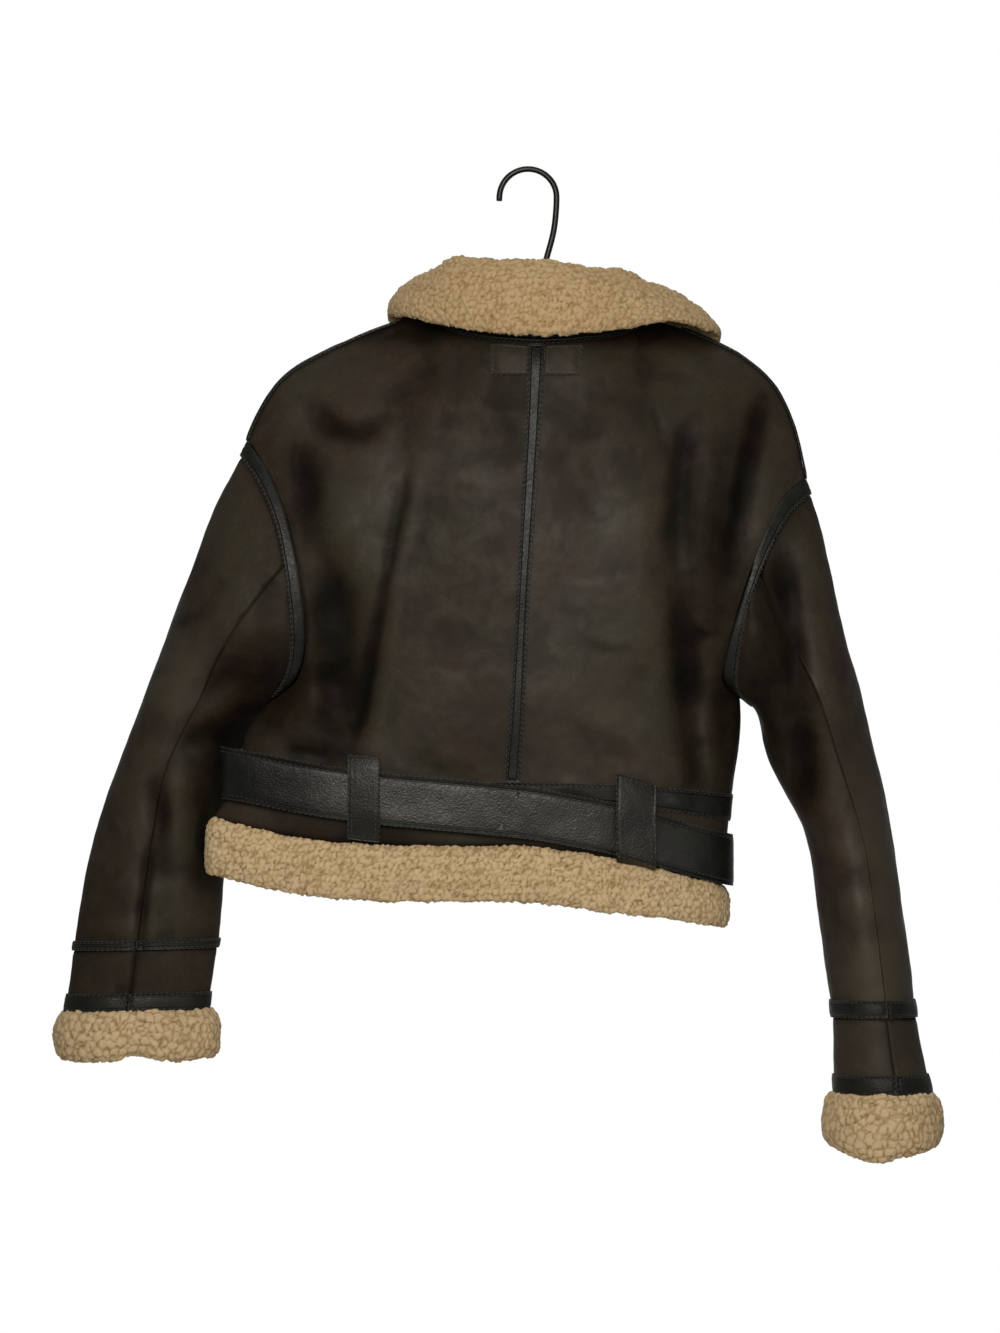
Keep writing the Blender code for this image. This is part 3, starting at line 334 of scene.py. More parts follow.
# Creases: where they run across the back or front in mm, how wide, how deep (+ is a ridge), and how much
# the cloth rises beside them
creases = {
    # part, face: rows of x0, z0, x1, z1, x2, z2, width, depth, beside
    ("body", "back"): [
        (-194, -166, -148, -215, -98, -182, 11, -3.4, 0.25),
        (-96, -170, -98, -205, -110, -256, 9, -1.6, 0.2),
        (-190, -200, -182, -262, -176, -330, 14, -4.6, 0.15),
        (-94, -220, -112, -315, -128, -400, 5, -3.0, 0.6),
        (-205, -258, -179, -362, -188, -418, 5, 1.7, 0.0),
        (145, -422, 148, -470, 153, -514, 7, 2.2, 0.0),
        (-84, -190, -62, -206, -34, -200, 5, -0.9, 0.4),
        (24, -216, 40, -262, 74, -300, 4, -0.7, 0.4),
        (-20, -396, -52, -408, -86, -402, 4, -0.7, 0.4),
        (30, -372, 62, -392, 100, -388, 4, -0.8, 0.4),
        (96, -190, 108, -214, 112, -246, 4, -1.0, 0.4),
        (-120, -346, -132, -420, -148, -484, 6, -3.4, 0.5),
        (-166, -280, -160, -390, -146, -500, 20, -7.0, 0.1),
        (-192, -380, -192, -440, -166, -482, 10, 2.0, 0.0),
        (-206, -486, -180, -476, -156, -492, 6, -2.2, 0.2),
        (140, -180, 124, -262, 128, -360, 12, -4.0, 0.25),
        (126, -320, 129, -400, 134, -480, 13, -5.0, 0.15),
        (132, -440, 136, -484, 140, -530, 12, -3.6, 0.2),
        (162, -200, 152, -262, 146, -340, 12, 1.8, 0.0),
        (195, -166, 184, -220, 168, -280, 11, -4.6, 0.2),
        (184, -230, 168, -290, 154, -350, 12, -4.2, 0.2),
        (130, -372, 146, -380, 160, -371, 6, -2.0, 0.3),
        (170, -400, 160, -450, 164, -520, 10, -3.2, 0.2),
        (60, -515, 40, -505, 14, -503, 6, 1.4, 0.0),
        (108, -512, 122, -518, 138, -522, 6, 2.2, 0.0),
        (-58, -230, -54, -330, -62, -450, 34, 2.6, 0.0),
        (66, -220, 72, -330, 66, -460, 34, 2.4, 0.0),
        (36, -170, 56, -250, 48, -340, 12, -0.8, 0.3),
        (-108, -468, -70, -490, -20, -492, 9, -1.2, 0.4),
        (-134, -194, -100, -176, -66, -158, 11, -1.5, 0.3),
        (76, -148, 112, -168, 156, -172, 11, -1.3, 0.3),
        (20, -436, 64, -472, 112, -488, 11, -1.2, 0.3),
    ],
    ("sleeve", "back"): [
        (-250, -300, -282, -335, -306, -380, 12, -1.7, 0.3),
        (-242, -320, -262, -352, -296, -384, 9, -1.2, 0.3),
        (-222, -392, -250, -430, -304, -450, 10, 4.4, 0.0),
        (-204, -400, -238, -466, -256, -556, 17, -9.0, 0.0),
        (-250, -520, -268, -560, -262, -620, 8, -2.4, 0.2),
        (-262, -356, -288, -372, -322, -370, 5, -1.2, 0.4),
        (-280, -400, -310, -412, -330, -404, 5, -1.1, 0.4),
        (-240, -446, -268, -462, -300, -468, 9, -3.2, 0.2),
        (-314, -484, -302, -530, -306, -600, 10, -3.4, 0.2),
        (-308, -540, -316, -600, -321, -690, 5, -3.0, 0.4),
        (-338, -650, -334, -674, -332, -694, 5, -1.0, 0.4),
        (-278, -480, -286, -520, -288, -610, 14, 2.4, 0.0),
        (-336, -556, -300, -576, -262, -564, 11, -1.3, 0.3),
        (-356, -594, -322, -606, -284, -598, 10, -1.2, 0.3),
        (-270, -490, -262, -540, -256, -600, 11, -2.6, 0.2),
        (-300, -370, -320, -430, -342, -510, 20, 2.2, 0.0),
        (200, -296, 213, -360, 221, -450, 13, -6.4, 0.1),
        (218, -420, 225, -480, 230, -560, 13, -5.6, 0.1),
        (176, -356, 186, -386, 202, -406, 11, 2.2, 0.0),
        (160, -418, 192, -423, 226, -412, 7, -2.0, 0.3),
        (216, -320, 240, -420, 260, -540, 17, 3.4, 0.0),
        (258, -510, 270, -600, 278, -700, 16, 2.2, 0.0),
        (232, -558, 262, -579, 296, -570, 11, -1.2, 0.3),
        (248, -608, 274, -623, 304, -610, 10, -1.1, 0.3),
        (226, -530, 240, -590, 254, -660, 11, -2.6, 0.2),
    ],
    ("body", "front"): [
        (-178, -190, -150, -228, -112, -212, 10, -2.6, 0.3),
        (-164, -290, -152, -380, -160, -460, 14, -4.0, 0.2),
        (-120, -230, -112, -320, -124, -420, 9, -1.7, 0.3),
        (-92, -390, -70, -450, -62, -510, 10, -1.8, 0.3),
        (-48, -210, -60, -300, -52, -390, 12, -1.2, 0.3),
        (152, -190, 138, -250, 132, -320, 11, -2.8, 0.3),
        (122, -320, 112, -400, 118, -480, 11, -2.6, 0.3),
        (68, -230, 78, -320, 70, -410, 12, -1.3, 0.3),
        (62, -424, 40, -480, 44, -526, 10, -1.5, 0.3),
    ],
    ("sleeve", "front"): [
        (-224, -386, -262, -420, -304, -438, 11, -3.2, 0.2),
        (-226, -426, -256, -462, -294, -476, 10, -2.6, 0.2),
        (-258, -304, -280, -350, -304, -388, 11, -1.5, 0.3),
        (-334, -554, -302, -571, -268, -560, 11, -1.4, 0.3),
        (196, -320, 214, -390, 222, -460, 12, -3.4, 0.2),
        (222, -440, 232, -500, 242, -560, 10, -2.4, 0.2),
        (236, -564, 266, -581, 300, -572, 11, -1.3, 0.3),
    ],
}

# Leans: where a part bellies sideways or up, by its middle, its half sizes and its shift in mm
leans = [
    # part, x, z, halfX, halfZ, shiftX, shiftZ
    ("sleeve", -222, -458, 26, 42, 4.5, 0.0),
    ("body", -226, -456, 26, 34, -4.0, 0.0),
    ("collar", 118, -138, 26, 14, 0.0, 9.0),
    ("collar", -96, -128, 22, 12, 0.0, 4.5),
    ("collar", 150, -138, 14, 16, 3.0, -2.0),
]

# Slack: soft dents and puckers that no table lists, by their size and depth in mm
slack = [(62.0, 1.5), (24.0, 0.5), (9.0, 0.28)]
slackShift = Vector((3.1, 1.7, 0.9))

sleeveAxes = {
    "left": [Vector(p) * mm for p in ((-232, 0, -350), (-262, 20, -430), (-292, 43, -488), (-303, 43, -548),
                                      (-313, 36, -625), (-321, 35, -690), (-325, 34, -730))],
    "right": [Vector(p) * mm for p in ((212, 2, -360), (228, 12, -430), (240, 20, -484), (254, 22, -516),
                                       (276, 24, -625), (284, 24, -690), (292, 24, -757), (296, 24, -800))],
}


def nearestOnLine(line, point):
    best, where = 1e9, line[0]
    for a, b in zip(line, line[1:]):
        step = b - a
        f = min(1.0, max(0.0, (point - a).dot(step) / step.length_squared))
        away = (point - a - step * f).length
        if away < best:
            best, where = away, a + step * f
    return where


def axisPoint(nodeName, point):
    if nodeName.startswith(("sleeve", "cuff", "fleece_cuff", "armhole")):
        return nearestOnLine(sleeveAxes["left" if nodeName.endswith("left") else "right"], point)
    return Vector((-5 * mm, 0, point.z))


def mergedCopy(nodeName):
    bm = bmesh.new()
    bm.from_mesh(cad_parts[nodeName].data)
    bmesh.ops.remove_doubles(bm, verts=bm.verts, dist=0.01 * mm)
    bmesh.ops.join_triangles(bm, faces=bm.faces, angle_face_threshold=math.radians(60),
                             angle_shape_threshold=math.radians(60))
    return bm


def markWalls(bm, nodeName):
    # Creases the cut edges, then marks each face: 0 outer wall, 1 inner wall, 2 cut edge
    crease = bm.edges.layers.float.new("crease_edge")
    for edge in bm.edges:
        if edge.calc_face_angle(0.0) > math.radians(clothSettings["rimAngle"]):
            edge[crease] = 1.0
    for face in bm.faces:
        face.tag = False
    regions = []
    for seed in bm.faces:
        if seed.tag:
            continue
        seed.tag = True
        region, stack = [], [seed]
        while stack:
            face = stack.pop()
            region.append(face)
            for edge in face.edges:
                if edge[crease] < 0.5:
                    for other in edge.link_faces:
                        if not other.tag:
                            other.tag = True
                            stack.append(other)
        regions.append(region)
    regions.sort(key=lambda region: -sum(face.calc_area() for face in region))
    for place, region in enumerate(regions):
        facing = 0.0
        for face in region:
            middle = face.calc_center_median()
            facing += face.calc_area() * face.normal.dot((middle - axisPoint(nodeName, middle)).normalized())
        side = (0 if facing > 0 else 1) if place < 2 else 2
        for face in region:
            face.material_index = side
    return [sum(face.calc_area() for face in region) for region in regions]


def smoothedMesh(bm, name, modifiers):
    # Runs modifiers on the copy and keeps only their result
    mesh = bpy.data.meshes.new(name)
    bm.to_mesh(mesh)
    bm.free()
    rough = bpy.data.objects.new(name + "_rough", mesh)
    bpy.context.collection.objects.link(rough)
    for kind, settings in modifiers:
        modifier = rough.modifiers.new(kind.title(), kind)
        for key, value in settings.items():
            setattr(modifier, key, value)
    shaped = bpy.data.meshes.new_from_object(rough.evaluated_get(bpy.context.evaluated_depsgraph_get()))
    bpy.data.objects.remove(rough)
    bpy.data.meshes.remove(mesh)
    shaped.name = name
    return shaped


def readPoints(mesh):
    points = np.empty(len(mesh.vertices) * 3)
    mesh.vertices.foreach_get("co", points)
    return points.reshape(-1, 3)


def writePoints(mesh, points):
    mesh.vertices.foreach_set("co", points.ravel())
    mesh.update()


def readQuads(mesh):
    corners = np.empty(len(mesh.loops), dtype=np.int64)
    mesh.loops.foreach_get("vertex_index", corners)
    return corners.reshape(-1, 4)


def readSides(mesh):
    # The wall marks that markWalls gave the faces
    sides = np.empty(len(mesh.polygons), dtype=np.int32)
    mesh.polygons.foreach_get("material_index", sides)
    return sides


def readNormals(mesh):
    normals = np.empty(len(mesh.vertices) * 3)
    mesh.vertices.foreach_get("normal", normals)
    return normals.reshape(-1, 3)


def readEdges(mesh):
    ends = np.empty(len(mesh.edges) * 2, dtype=np.int64)
    mesh.edges.foreach_get("vertices", ends)
    return ends.reshape(-1, 2)


def meanOfNeighbours(values, edges, count):
    total = np.zeros_like(values)
    for k in range(values.shape[1]):
        total[:, k] = (np.bincount(edges[:, 0], values[edges[:, 1], k], count)
                       + np.bincount(edges[:, 1], values[edges[:, 0], k], count))
    shared = np.bincount(edges.ravel(), minlength=count)
    return total / np.maximum(shared, 1)[:, None]


def smoothStep(x):
    x = np.clip(x, 0.0, 1.0)
    return x * x * (3 - 2 * x)


def outwardOf(points, quads, sides):
    # The way out of the cloth at each point, the same on both of its walls
    a, b, c, d = (points[quads[:, k]] for k in range(4))
    normals = np.cross(c - a, d - b)
    normals[sides == 1] *= -1
    normals[sides == 2] = 0
    outward = np.zeros_like(points)
    for k in range(4):
        for axis in range(3):
            outward[:, axis] += np.bincount(quads[:, k], normals[:, axis], len(points))
    length = np.linalg.norm(outward, axis=1)
    known = length > 1e-12
    outward[known] /= length[known][:, None]
    tree = KDTree(int(known.sum()))
    for index in np.flatnonzero(known):
        tree.insert(points[index], int(index))
    tree.balance()
    for index in np.flatnonzero(~known):
        outward[index] = outward[tree.find(points[index])[1]]
    return outward


creaseSettings = {
    "steps": 10,            # straight lengths that a crease's curve is cut into
    "reach": 4,             # widths away from its ends past which a crease is not looked for
    "taper": 2.4,           # how fast a crease deepens from its ends
    "sideAt": 1.9,          # widths from the middle to the rise beside a crease, and that rise's width
    "sideWide": 1.3,
    "darkDeep": 5.0,        # mm of depth that gives a trough its darkest shade
    "darkWide": 1.25,
    "frontDark": 0.5,
}


def besideCurve(place, ends):
    # For places round a curve through three points: the distance from it, the share of the way along it
    # and, as 1 or -1, the hand that each place lies on
    steps = creaseSettings["steps"]
    share = np.linspace(0, 1, steps + 1)[:, None]
    line = (ends[0] * (1 - share) * (1 - 2 * share) + ends[1] * 4 * share * (1 - share)
            + ends[2] * share * (2 * share - 1))
    best = np.full(len(place), 1e9)
    along = np.zeros(len(place))
    hand = np.ones(len(place))
    for k, (a, b) in enumerate(zip(line, line[1:])):
        step = b - a
        f = np.clip(((place - a) @ step) / (step @ step), 0, 1)
        away = place - a - f[:, None] * step
        distance = np.linalg.norm(away, axis=1)
        closer = distance < best
        best[closer] = distance[closer]
        along[closer] = (k + f[closer]) / steps
        hand[closer] = np.sign(step[0] * away[closer, 1] - step[1] * away[closer, 0] + 1e-9)
    return best, along, hand


def creaseDepth(points, outward, part):
    # How far in mm the creases of one part move each point along Y, + towards the front, and the painted
    # shade of their troughs
    s = creaseSettings
    flat = points[:, (0, 2)] / mm
    total, shade = np.zeros(len(points)), np.zeros(len(points))
    rows = [(*key, *row) for key, group in creases.items() for row in group]
    for number, (owner, face, x0, z0, x1, z1, x2, z2, width, depth, beside) in enumerate(rows):
        if owner != part:
            continue
        way = -1 if face == "back" else 1
        facing = outward[:, 1] * way
        ends = np.array([(x0, z0), (x1, z1), (x2, z2)], dtype=float)
        low, high = ends.min(axis=0) - s["reach"] * width, ends.max(axis=0) + s["reach"] * width
        inBox = (flat > low).all(axis=1) & (flat < high).all(axis=1)
        near = np.flatnonzero(inBox & (facing > clothSettings["facingFrom"]))
        if not len(near):
            continue
        best, along, hand = besideCurve(flat[near], ends)
        taper = smoothStep(np.minimum(along, 1 - along) * s["taper"] + 0.03)
        uneven = 1 + 0.2 * np.sin(along * 9 + number * 1.7) + 0.1 * np.sin(along * 23 + number)
        across = best * hand
        rise = np.exp(-((across - s["sideAt"] * width) / (s["sideWide"] * width)) ** 2)
        shape = np.exp(-(best / width) ** 2) - beside * rise
        full = smoothStep(facing[near] / clothSettings["facingFull"])
        total[near] += way * depth * taper * uneven * shape * full
        turned = smoothStep((facing[near] - clothSettings["facingFrom"]) / clothSettings["facingFull"])
        dark = np.clip(-depth / s["darkDeep"], 0, 1) * (1.0 if face == "back" else s["frontDark"])
        shade[near] += dark * taper * np.exp(-(best / (s["darkWide"] * width)) ** 2) * turned
    return total, np.clip(shade, 0, 1)


# Painted shade and light: where a piece's colour is painted darker as shade, as under the collar and in
# the underarms, and, below 0, where it is painted paler as light
shadeAndLightPatches = {
    # node: rows of x, z, halfX, halfZ, amount
    "back_left": [(-75, -133, 105, 13, 0.9), (-205, -385, 52, 105, 0.85), (-25, -188, 105, 80, 0.5),
                  (-70, -300, 75, 110, 0.35), (-172, -455, 42, 50, 0.8), (-190, -300, 35, 60, 0.55)],
    "back_right": [(85, -135, 120, 13, 0.9), (60, -204, 110, 85, 0.4), (149, -311, 38, 130, 0.75),
                   (157, -483, 50, 50, 0.5), (172, -440, 36, 90, 0.8), (80, -460, 60, 45, -0.25)],
    "sleeve_under_left": [(-215, -420, 42, 75, 0.8), (-310, -640, 75, 140, 0.4),
                          (-215, -330, 30, 70, 0.6)],
    "sleeve_top_left": [(-205, -310, 30, 60, 0.5), (-330, -660, 75, 140, 0.4),
                        (-290, -415, 26, 32, -0.45)],
    "cuff_band_left": [(-320, -665, 90, 60, 0.5)],
    "sleeve_under_right": [(205, -380, 36, 170, 0.9), (285, -640, 30, 160, -0.35),
                           (245, -590, 26, 60, -0.4)],
    "sleeve_top_right": [(190, -250, 42, 65, 0.75), (292, -600, 38, 190, -0.4)],
    "band_back": [(-140, -545, 110, 60, 0.75), (60, -560, 160, 60, 0.5)],
    "belt": [(-200, -505, 48, 60, 0.75), (100, -520, 45, 50, 0.45), (190, -540, 60, 60, 0.4)],
    "belt_loop_left": [(-150, -505, 30, 34, 0.5)],
    "belt_loop_right": [(110, -520, 40, 50, 0.3)],
    "waist_strip": [(-180, -480, 60, 60, 0.8)],
}


def patchShare(points, x, z, halfX, halfZ):
    # 1 in the middle of a soft oval patch, seen from behind, and 0 well outside it
    return np.exp(-(((points[:, 0] / mm - x) / halfX) ** 2 + ((points[:, 2] / mm - z) / halfZ) ** 2))


def withShadeAndLightPatches(points, shade, nodeName):
    # The creases' painted shade with the piece's patches of painted shade and, below 0, painted light
    pale = np.zeros(len(points))
    for x, z, halfX, halfZ, amount in shadeAndLightPatches.get(nodeName, []):
        patchShadeAndLight = amount * patchShare(points, x, z, halfX, halfZ)
        shade = np.maximum(shade, patchShadeAndLight)
        pale = np.minimum(pale, patchShadeAndLight)
    return np.clip(shade + pale, -0.5, 1)


def leaned(points, part):
    # The points with their part's leans
    moved = points.copy()
    for group, x, z, halfX, halfZ, shiftX, shiftZ in leans:
        if group == part:
            share = patchShare(points, x, z, halfX, halfZ)
            moved += share[:, None] * np.array((shiftX, 0.0, shiftZ)) * mm
    return moved


def slackDepth(points):
    depth = np.empty(len(points))
    for index, point in enumerate(points):
        spot = Vector(point) / mm
        depth[index] = sum(deep * noise.noise(spot / size + slackShift) for size, deep in slack)
    return depth


def borderDistance(points, quads, sides):
    # How far each point is from its piece's outer cut edge
    outer, rim = (np.unique(quads[sides == k]) for k in (0, 2))
    border = np.intersect1d(outer, rim)
    onBorder = np.zeros(len(points), dtype=bool)
    onBorder[border] = True
    starts, ends = quads[sides == 0].ravel(), np.roll(quads[sides == 0], -1, axis=1).ravel()
    both = onBorder[starts] & onBorder[ends]
    middles = (points[starts[both]] + points[ends[both]]) / 2
    tree = KDTree(len(border) + len(middles))
    for index, point in enumerate(np.vstack([points[border], middles])):
        tree.insert(point, index)
    tree.balance()
    return np.array([tree.find(point)[2] for point in points])


def partOf(nodeName):
    return "sleeve" if nodeName.startswith(("sleeve", "cuff", "fleece_cuff")) else "body"


def setAttribute(mesh, name, values):
    layer = mesh.attributes.new(name, "FLOAT", "POINT")
    layer.data.foreach_set("value", values.astype(np.float32))


pieces = {}


def addPiece(name, mesh, materials, nodesReplaced):
    mesh.materials.clear()
    for material in materials:
        mesh.materials.append(material)
    for polygon in mesh.polygons:
        polygon.use_smooth = True
    piece = bpy.data.objects.new(name, mesh)
    bpy.context.collection.objects.link(piece)
    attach(piece, "root")
    if nodesReplaced:
        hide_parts(*nodesReplaced)
    pieces[name] = piece
    return piece


areas = {}


def clothPiece(nodeName, name, materials, levels=3, lift=0.0, extra=None):
    # One cut piece: its solid smoothed, given slack, rounded edges and creases, and the attributes that
    # its material reads. The materials are for the outer wall, the inner wall and the cut edge
    s = clothSettings
    bm = mergedCopy(nodeName)
    found = markWalls(bm, nodeName)
    mesh = smoothedMesh(bm, name, [("SUBSURF", {"levels": levels, "render_levels": levels})])
    points, quads, sides = readPoints(mesh), readQuads(mesh), readSides(mesh)
    outward = outwardOf(points, quads, sides)
    folds, shade = creaseDepth(points, outward, partOf(nodeName))
    depth = slackDepth(points)
    edgeIn = borderDistance(points, quads, sides)
    onOuter = np.zeros(len(points), dtype=bool)
    onOuter[np.unique(quads[sides == 0])] = True
    rounding = s["roundBy"] * smoothStep(1 - edgeIn / (s["roundIn"] * mm)) * onOuter
    if extra is not None:
        depth = depth + extra(points)
    points = points + outward * ((depth - rounding + lift) * mm)[:, None]
    points[:, 1] += folds * mm
    points = leaned(points, partOf(nodeName))
    edges = readEdges(mesh)
    relaxed = points.copy()
    for step in range(s["evenSteps"]):
        even = meanOfNeighbours(relaxed, edges, len(points))
        relaxed = relaxed + (even - relaxed) * s["evenBy"]
    # How far the cloth stands off its evened copy: it sets the suede's painted shade in troughs and painted
    # highlight on ridges
    fold = ((points - relaxed) * outward).sum(axis=1) / (s["foldFull"] * mm)
    writePoints(mesh, points)
    setAttribute(mesh, "fold", np.clip(fold, -1, 1) * np.clip(edgeIn / (s["foldIn"] * mm), 0, 1))
    # The shade attribute: painted shade, and below 0 painted light
    setAttribute(mesh, "shade", withShadeAndLightPatches(points, shade, nodeName))
    setAttribute(mesh, "edgeIn", np.where(onOuter, edgeIn, 0.05))
    a, b, c, d = (points[quads[sides == 0][:, k]] for k in range(4))
    areas[name] = 0.5 * np.linalg.norm(np.cross(c - a, d - b), axis=1).sum()
    print(name, "faces", len(quads), "outer", round(areas[name], 4), "regions",
          [round(x, 4) for x in found[:4]])
    return addPiece(name, mesh, materials, [nodeName])


suedeWall = [finishes["suede"], finishes["inside"], finishes["suede"]]
panels = ["back_left", "back_right", "front_left", "front_right", "band_back", "band_front_left",
          "band_front_right", "sleeve_top_left", "sleeve_top_right", "sleeve_under_left",
          "sleeve_under_right", "cuff_band_left", "cuff_band_right"]
for panel in panels:
    finelyCreased = panel.startswith(("back", "sleeve"))
    clothPiece(panel, panel + "_cloth", suedeWall, levels=3 if finelyCreased else 2)
print("panels shaped")

trimWall = [finishes["trim"]] * 3
trims = ["armhole_strip_left", "armhole_strip_right", "centre_back_strip", "waist_strip", "neck_strip",
         "shoulder_strip_left", "shoulder_strip_right", "cuff_strip_upper_left", "cuff_strip_upper_right",
         "cuff_strip_lower_left", "cuff_strip_lower_right", "front_placket"]


trimLift = 0.3
ruche = {"low": -340, "high": -276, "fade": 10, "pitch": 5.6, "deep": 0.7}
tabEnds = {"middle": 7, "reach": 38, "fade": 10, "sunk": 1.6}


def ruched(points):
    # The strip is gathered by its stitching where it comes out from under the fold
    height = points[:, 2] / mm
    share = (smoothStep((height - ruche["low"]) / ruche["fade"])
             * smoothStep((ruche["high"] - height) / ruche["fade"]))
    return ruche["deep"] * np.sin(height * 2 * np.pi / ruche["pitch"]) * share


def tabSides(points):
    # The tab's far ends are pressed in level with the panel, so that only its top and bottom edges show
    away = np.abs(np.abs(points[:, 0] / mm - tabEnds["middle"]) - tabEnds["reach"])
    return -tabEnds["sunk"] * smoothStep(1 - away / tabEnds["fade"])


tabs = ["neck_tab_left", "neck_tab_right"]
straps = ["belt", "belt_loop_left", "belt_loop_right"]
for trim in trims:
    clothPiece(trim, trim + "_leather", trimWall, levels=2, lift=trimLift,
               extra=ruched if trim == "armhole_strip_right" else None)
for tab in tabs:
    clothPiece(tab, tab + "_cloth", [finishes["suede"]] * 3, lift=trimLift, extra=tabSides)
for strap in straps:
    strapWall = [finishes["belt" if strap == "belt" else "loop"]] * 3
    clothPiece(strap, strap + "_leather", strapWall)
print("trims shaped")


# Stitches: thread dashes that follow each trim's edge at a set distance in

stitchSettings = {
    "pitch": 4.4, "long": 3.1, "thick": 0.62, "flat": 0.8, "proud": -0.05,
    "lead": 1.5, "trail": 2.5,      # bare ends of a line of stitches
    "shortest": 0.6,                # share of its length that a stitch needs, so none bridges a corner
    "trim": 1.6, "strap": 3.4, "tab": 1.8,      # how far in from the edge each kind is sewn
}


def levelLines(points, quads, values, level):
    # Where values pass the level over the quads, as chained lines of points
    spots, links = {}, {}
    triangles = np.vstack([quads[:, (0, 1, 2)], quads[:, (0, 2, 3)]])
    above = values[triangles] > level
    for triangle in triangles[above.any(axis=1) & ~above.all(axis=1)]:
        ends = []
        for k in range(3):
            a, b = sorted((int(triangle[k]), int(triangle[(k + 1) % 3])))
            if (values[a] > level) != (values[b] > level):
                share = (level - values[a]) / (values[b] - values[a])
                spots[(a, b)] = points[a] + (points[b] - points[a]) * share
                ends.append((a, b))
        links.setdefault(ends[0], []).append(ends[1])
        links.setdefault(ends[1], []).append(ends[0])
    lines, left = [], dict(links)
    starts = [key for key in links if len(links[key]) == 1] + list(links)
    for start in starts:
        line, here = [], start
        while here in left:
            line.append(spots[here])
            onward = [key for key in left.pop(here) if key in left]
            here = onward[0] if onward else None
        if len(line) > 3:
            lines.append(np.array(line))
    return lines


def oneStitch():
    # One dash of thread, lying along X. It is made once, and each seam repeats its points
    s = stitchSettings
    bm = bmesh.new()
    bmesh.ops.create_uvsphere(bm, u_segments=5, v_segments=4, radius=0.5 * mm,
                              matrix=Matrix.Diagonal((s["long"], s["thick"], s["thick"] * s["flat"], 1)))
    slant = Vector((1.0, 0.37, 0.11))   # one order of points and faces on every run
    bm.verts.sort(key=lambda v: v.co.dot(slant))
    bm.faces.sort(key=lambda f: f.calc_center_median().dot(slant))
    bm.verts.index_update()
    corners = np.array([v.co[:] for v in bm.verts])
    faces = [[v.index for v in f.verts] for f in bm.faces]
    bm.free()
    return corners, faces


stitch, stitchFaces = oneStitch()


def sewAlong(name, inset):
    # Stitches all round a finished piece, inset mm from its edge
    s = stitchSettings
    mesh = pieces[name].data
    points, quads, sides = readPoints(mesh), readQuads(mesh), readSides(mesh)
    values = np.empty(len(points), dtype=np.float32)
    mesh.attributes["edgeIn"].data.foreach_get("value", values)
    surface = BVHTree.FromPolygons([Vector(p) for p in points], [list(map(int, q)) for q in quads])
    corners = []
    for line in levelLines(points, quads[sides == 0], values, inset * mm):
        steps = np.linalg.norm(np.diff(line, axis=0), axis=1)
        reach = np.concatenate([[0], np.cumsum(steps)])
        for place in np.arange(s["lead"] * mm, reach[-1] - s["trail"] * mm, s["pitch"] * mm):
            first, last = (Vector([np.interp(place + more * mm, reach, line[:, k]) for k in range(3)])
                           for more in (0.0, s["long"]))
            middle, along = (first + last) / 2, (last - first)
            if along.length < s["shortest"] * s["long"] * mm:
                continue
            where, normal = surface.find_nearest(middle)[:2]
            across = normal.cross(along).normalized()
            turn = np.array((along.normalized(), across, along.normalized().cross(across)))
            corners.append(stitch @ turn + np.array(where + normal * s["proud"] * mm))
    faces = [[k * len(stitch) + corner for corner in face]
             for k in range(len(corners)) for face in stitchFaces]
    sewn = bpy.data.meshes.new(name + "_stitches")
    sewn.from_pydata(np.vstack(corners), [], faces)
    print(sewn.name, "stitches", len(corners))
    return addPiece(sewn.name, sewn, [finishes["thread"]], [])


for trim in trims:
    sewAlong(trim + "_leather", stitchSettings["trim"])
for strap in straps:
    sewAlong(strap + "_leather", stitchSettings["strap"])
for tab in tabs:
    sewAlong(tab + "_cloth", stitchSettings["tab"])
print("stitches sewn")


# Fleece: the solid's form with curled nubs raised and sunk in its surface

pileSettings = {
    "cell": 1.45,                   # the mesh's own grain
    "nub": 5.0, "cuffNub": 6.9,     # sizes of a nub
    "scatter": 0.3,                 # how far a nub strays from its place in the rows, as a share of its size
    "bend": 5.5, "warp": 2.2,       # size and amount of the unevenness that bends the nubs' outlines
    "crevice": 0.42,                # how wide the crevice between two nubs is, as a share of a nub
    "deep": 1.7, "proud": 1.5,      # how deep the crevices go and how far the nubs stand out
    "curl": 1.7, "smallDeep": 0.7,  # small curls on each nub
    "tuft": 13.0, "tuftDeep": 1.6,
    "edgeCurl": 2.4, "edgeDeep": 1.5,
    "seed": 11,
}


def nubCentres(low, high, size):
    # The nubs' middles: a staggered lattice with each one moved a little by unevenness
    s = pileSettings
    counts = [int((b - a) / size) + 5 for a, b in zip(low, high)]
    grid = np.stack(np.meshgrid(*[np.arange(c) for c in counts], indexing="ij"), axis=-1).reshape(-1, 3) * 1.0
    grid[:, 0] += 0.5 * (grid[:, 2] % 2)
    grid[:, 1] += 0.5 * (grid[:, 2] % 2)
    shake = np.random.default_rng(s["seed"]).uniform(-s["scatter"], s["scatter"], grid.shape)
    middles = low + (grid + shake - 2) * size
    tree = KDTree(len(middles))
    for index, middle in enumerate(middles):
        tree.insert(middle, index)
    tree.balance()
    return tree


def nubHeight(tree, spot, size):
    # How high the pile stands here: a dome on each nub, with a narrow crevice where two meet
    s = pileSettings
    bent = spot + Vector(noise.noise_vector(spot / (s["bend"] * mm))) * s["warp"] * mm
    first, second = (found[2] / size for found in tree.find_n(bent, 2))
    gap = min(1.0, (second - first) / s["crevice"])
    dome = math.sqrt(gap * (2 - gap))
    curl, tuft, edgeCurl = (noise.noise(spot / (s[kind] * mm)) for kind in ("curl", "tuft", "edgeCurl"))
    return dome, 0.5 + 0.5 * curl, tuft, edgeCurl


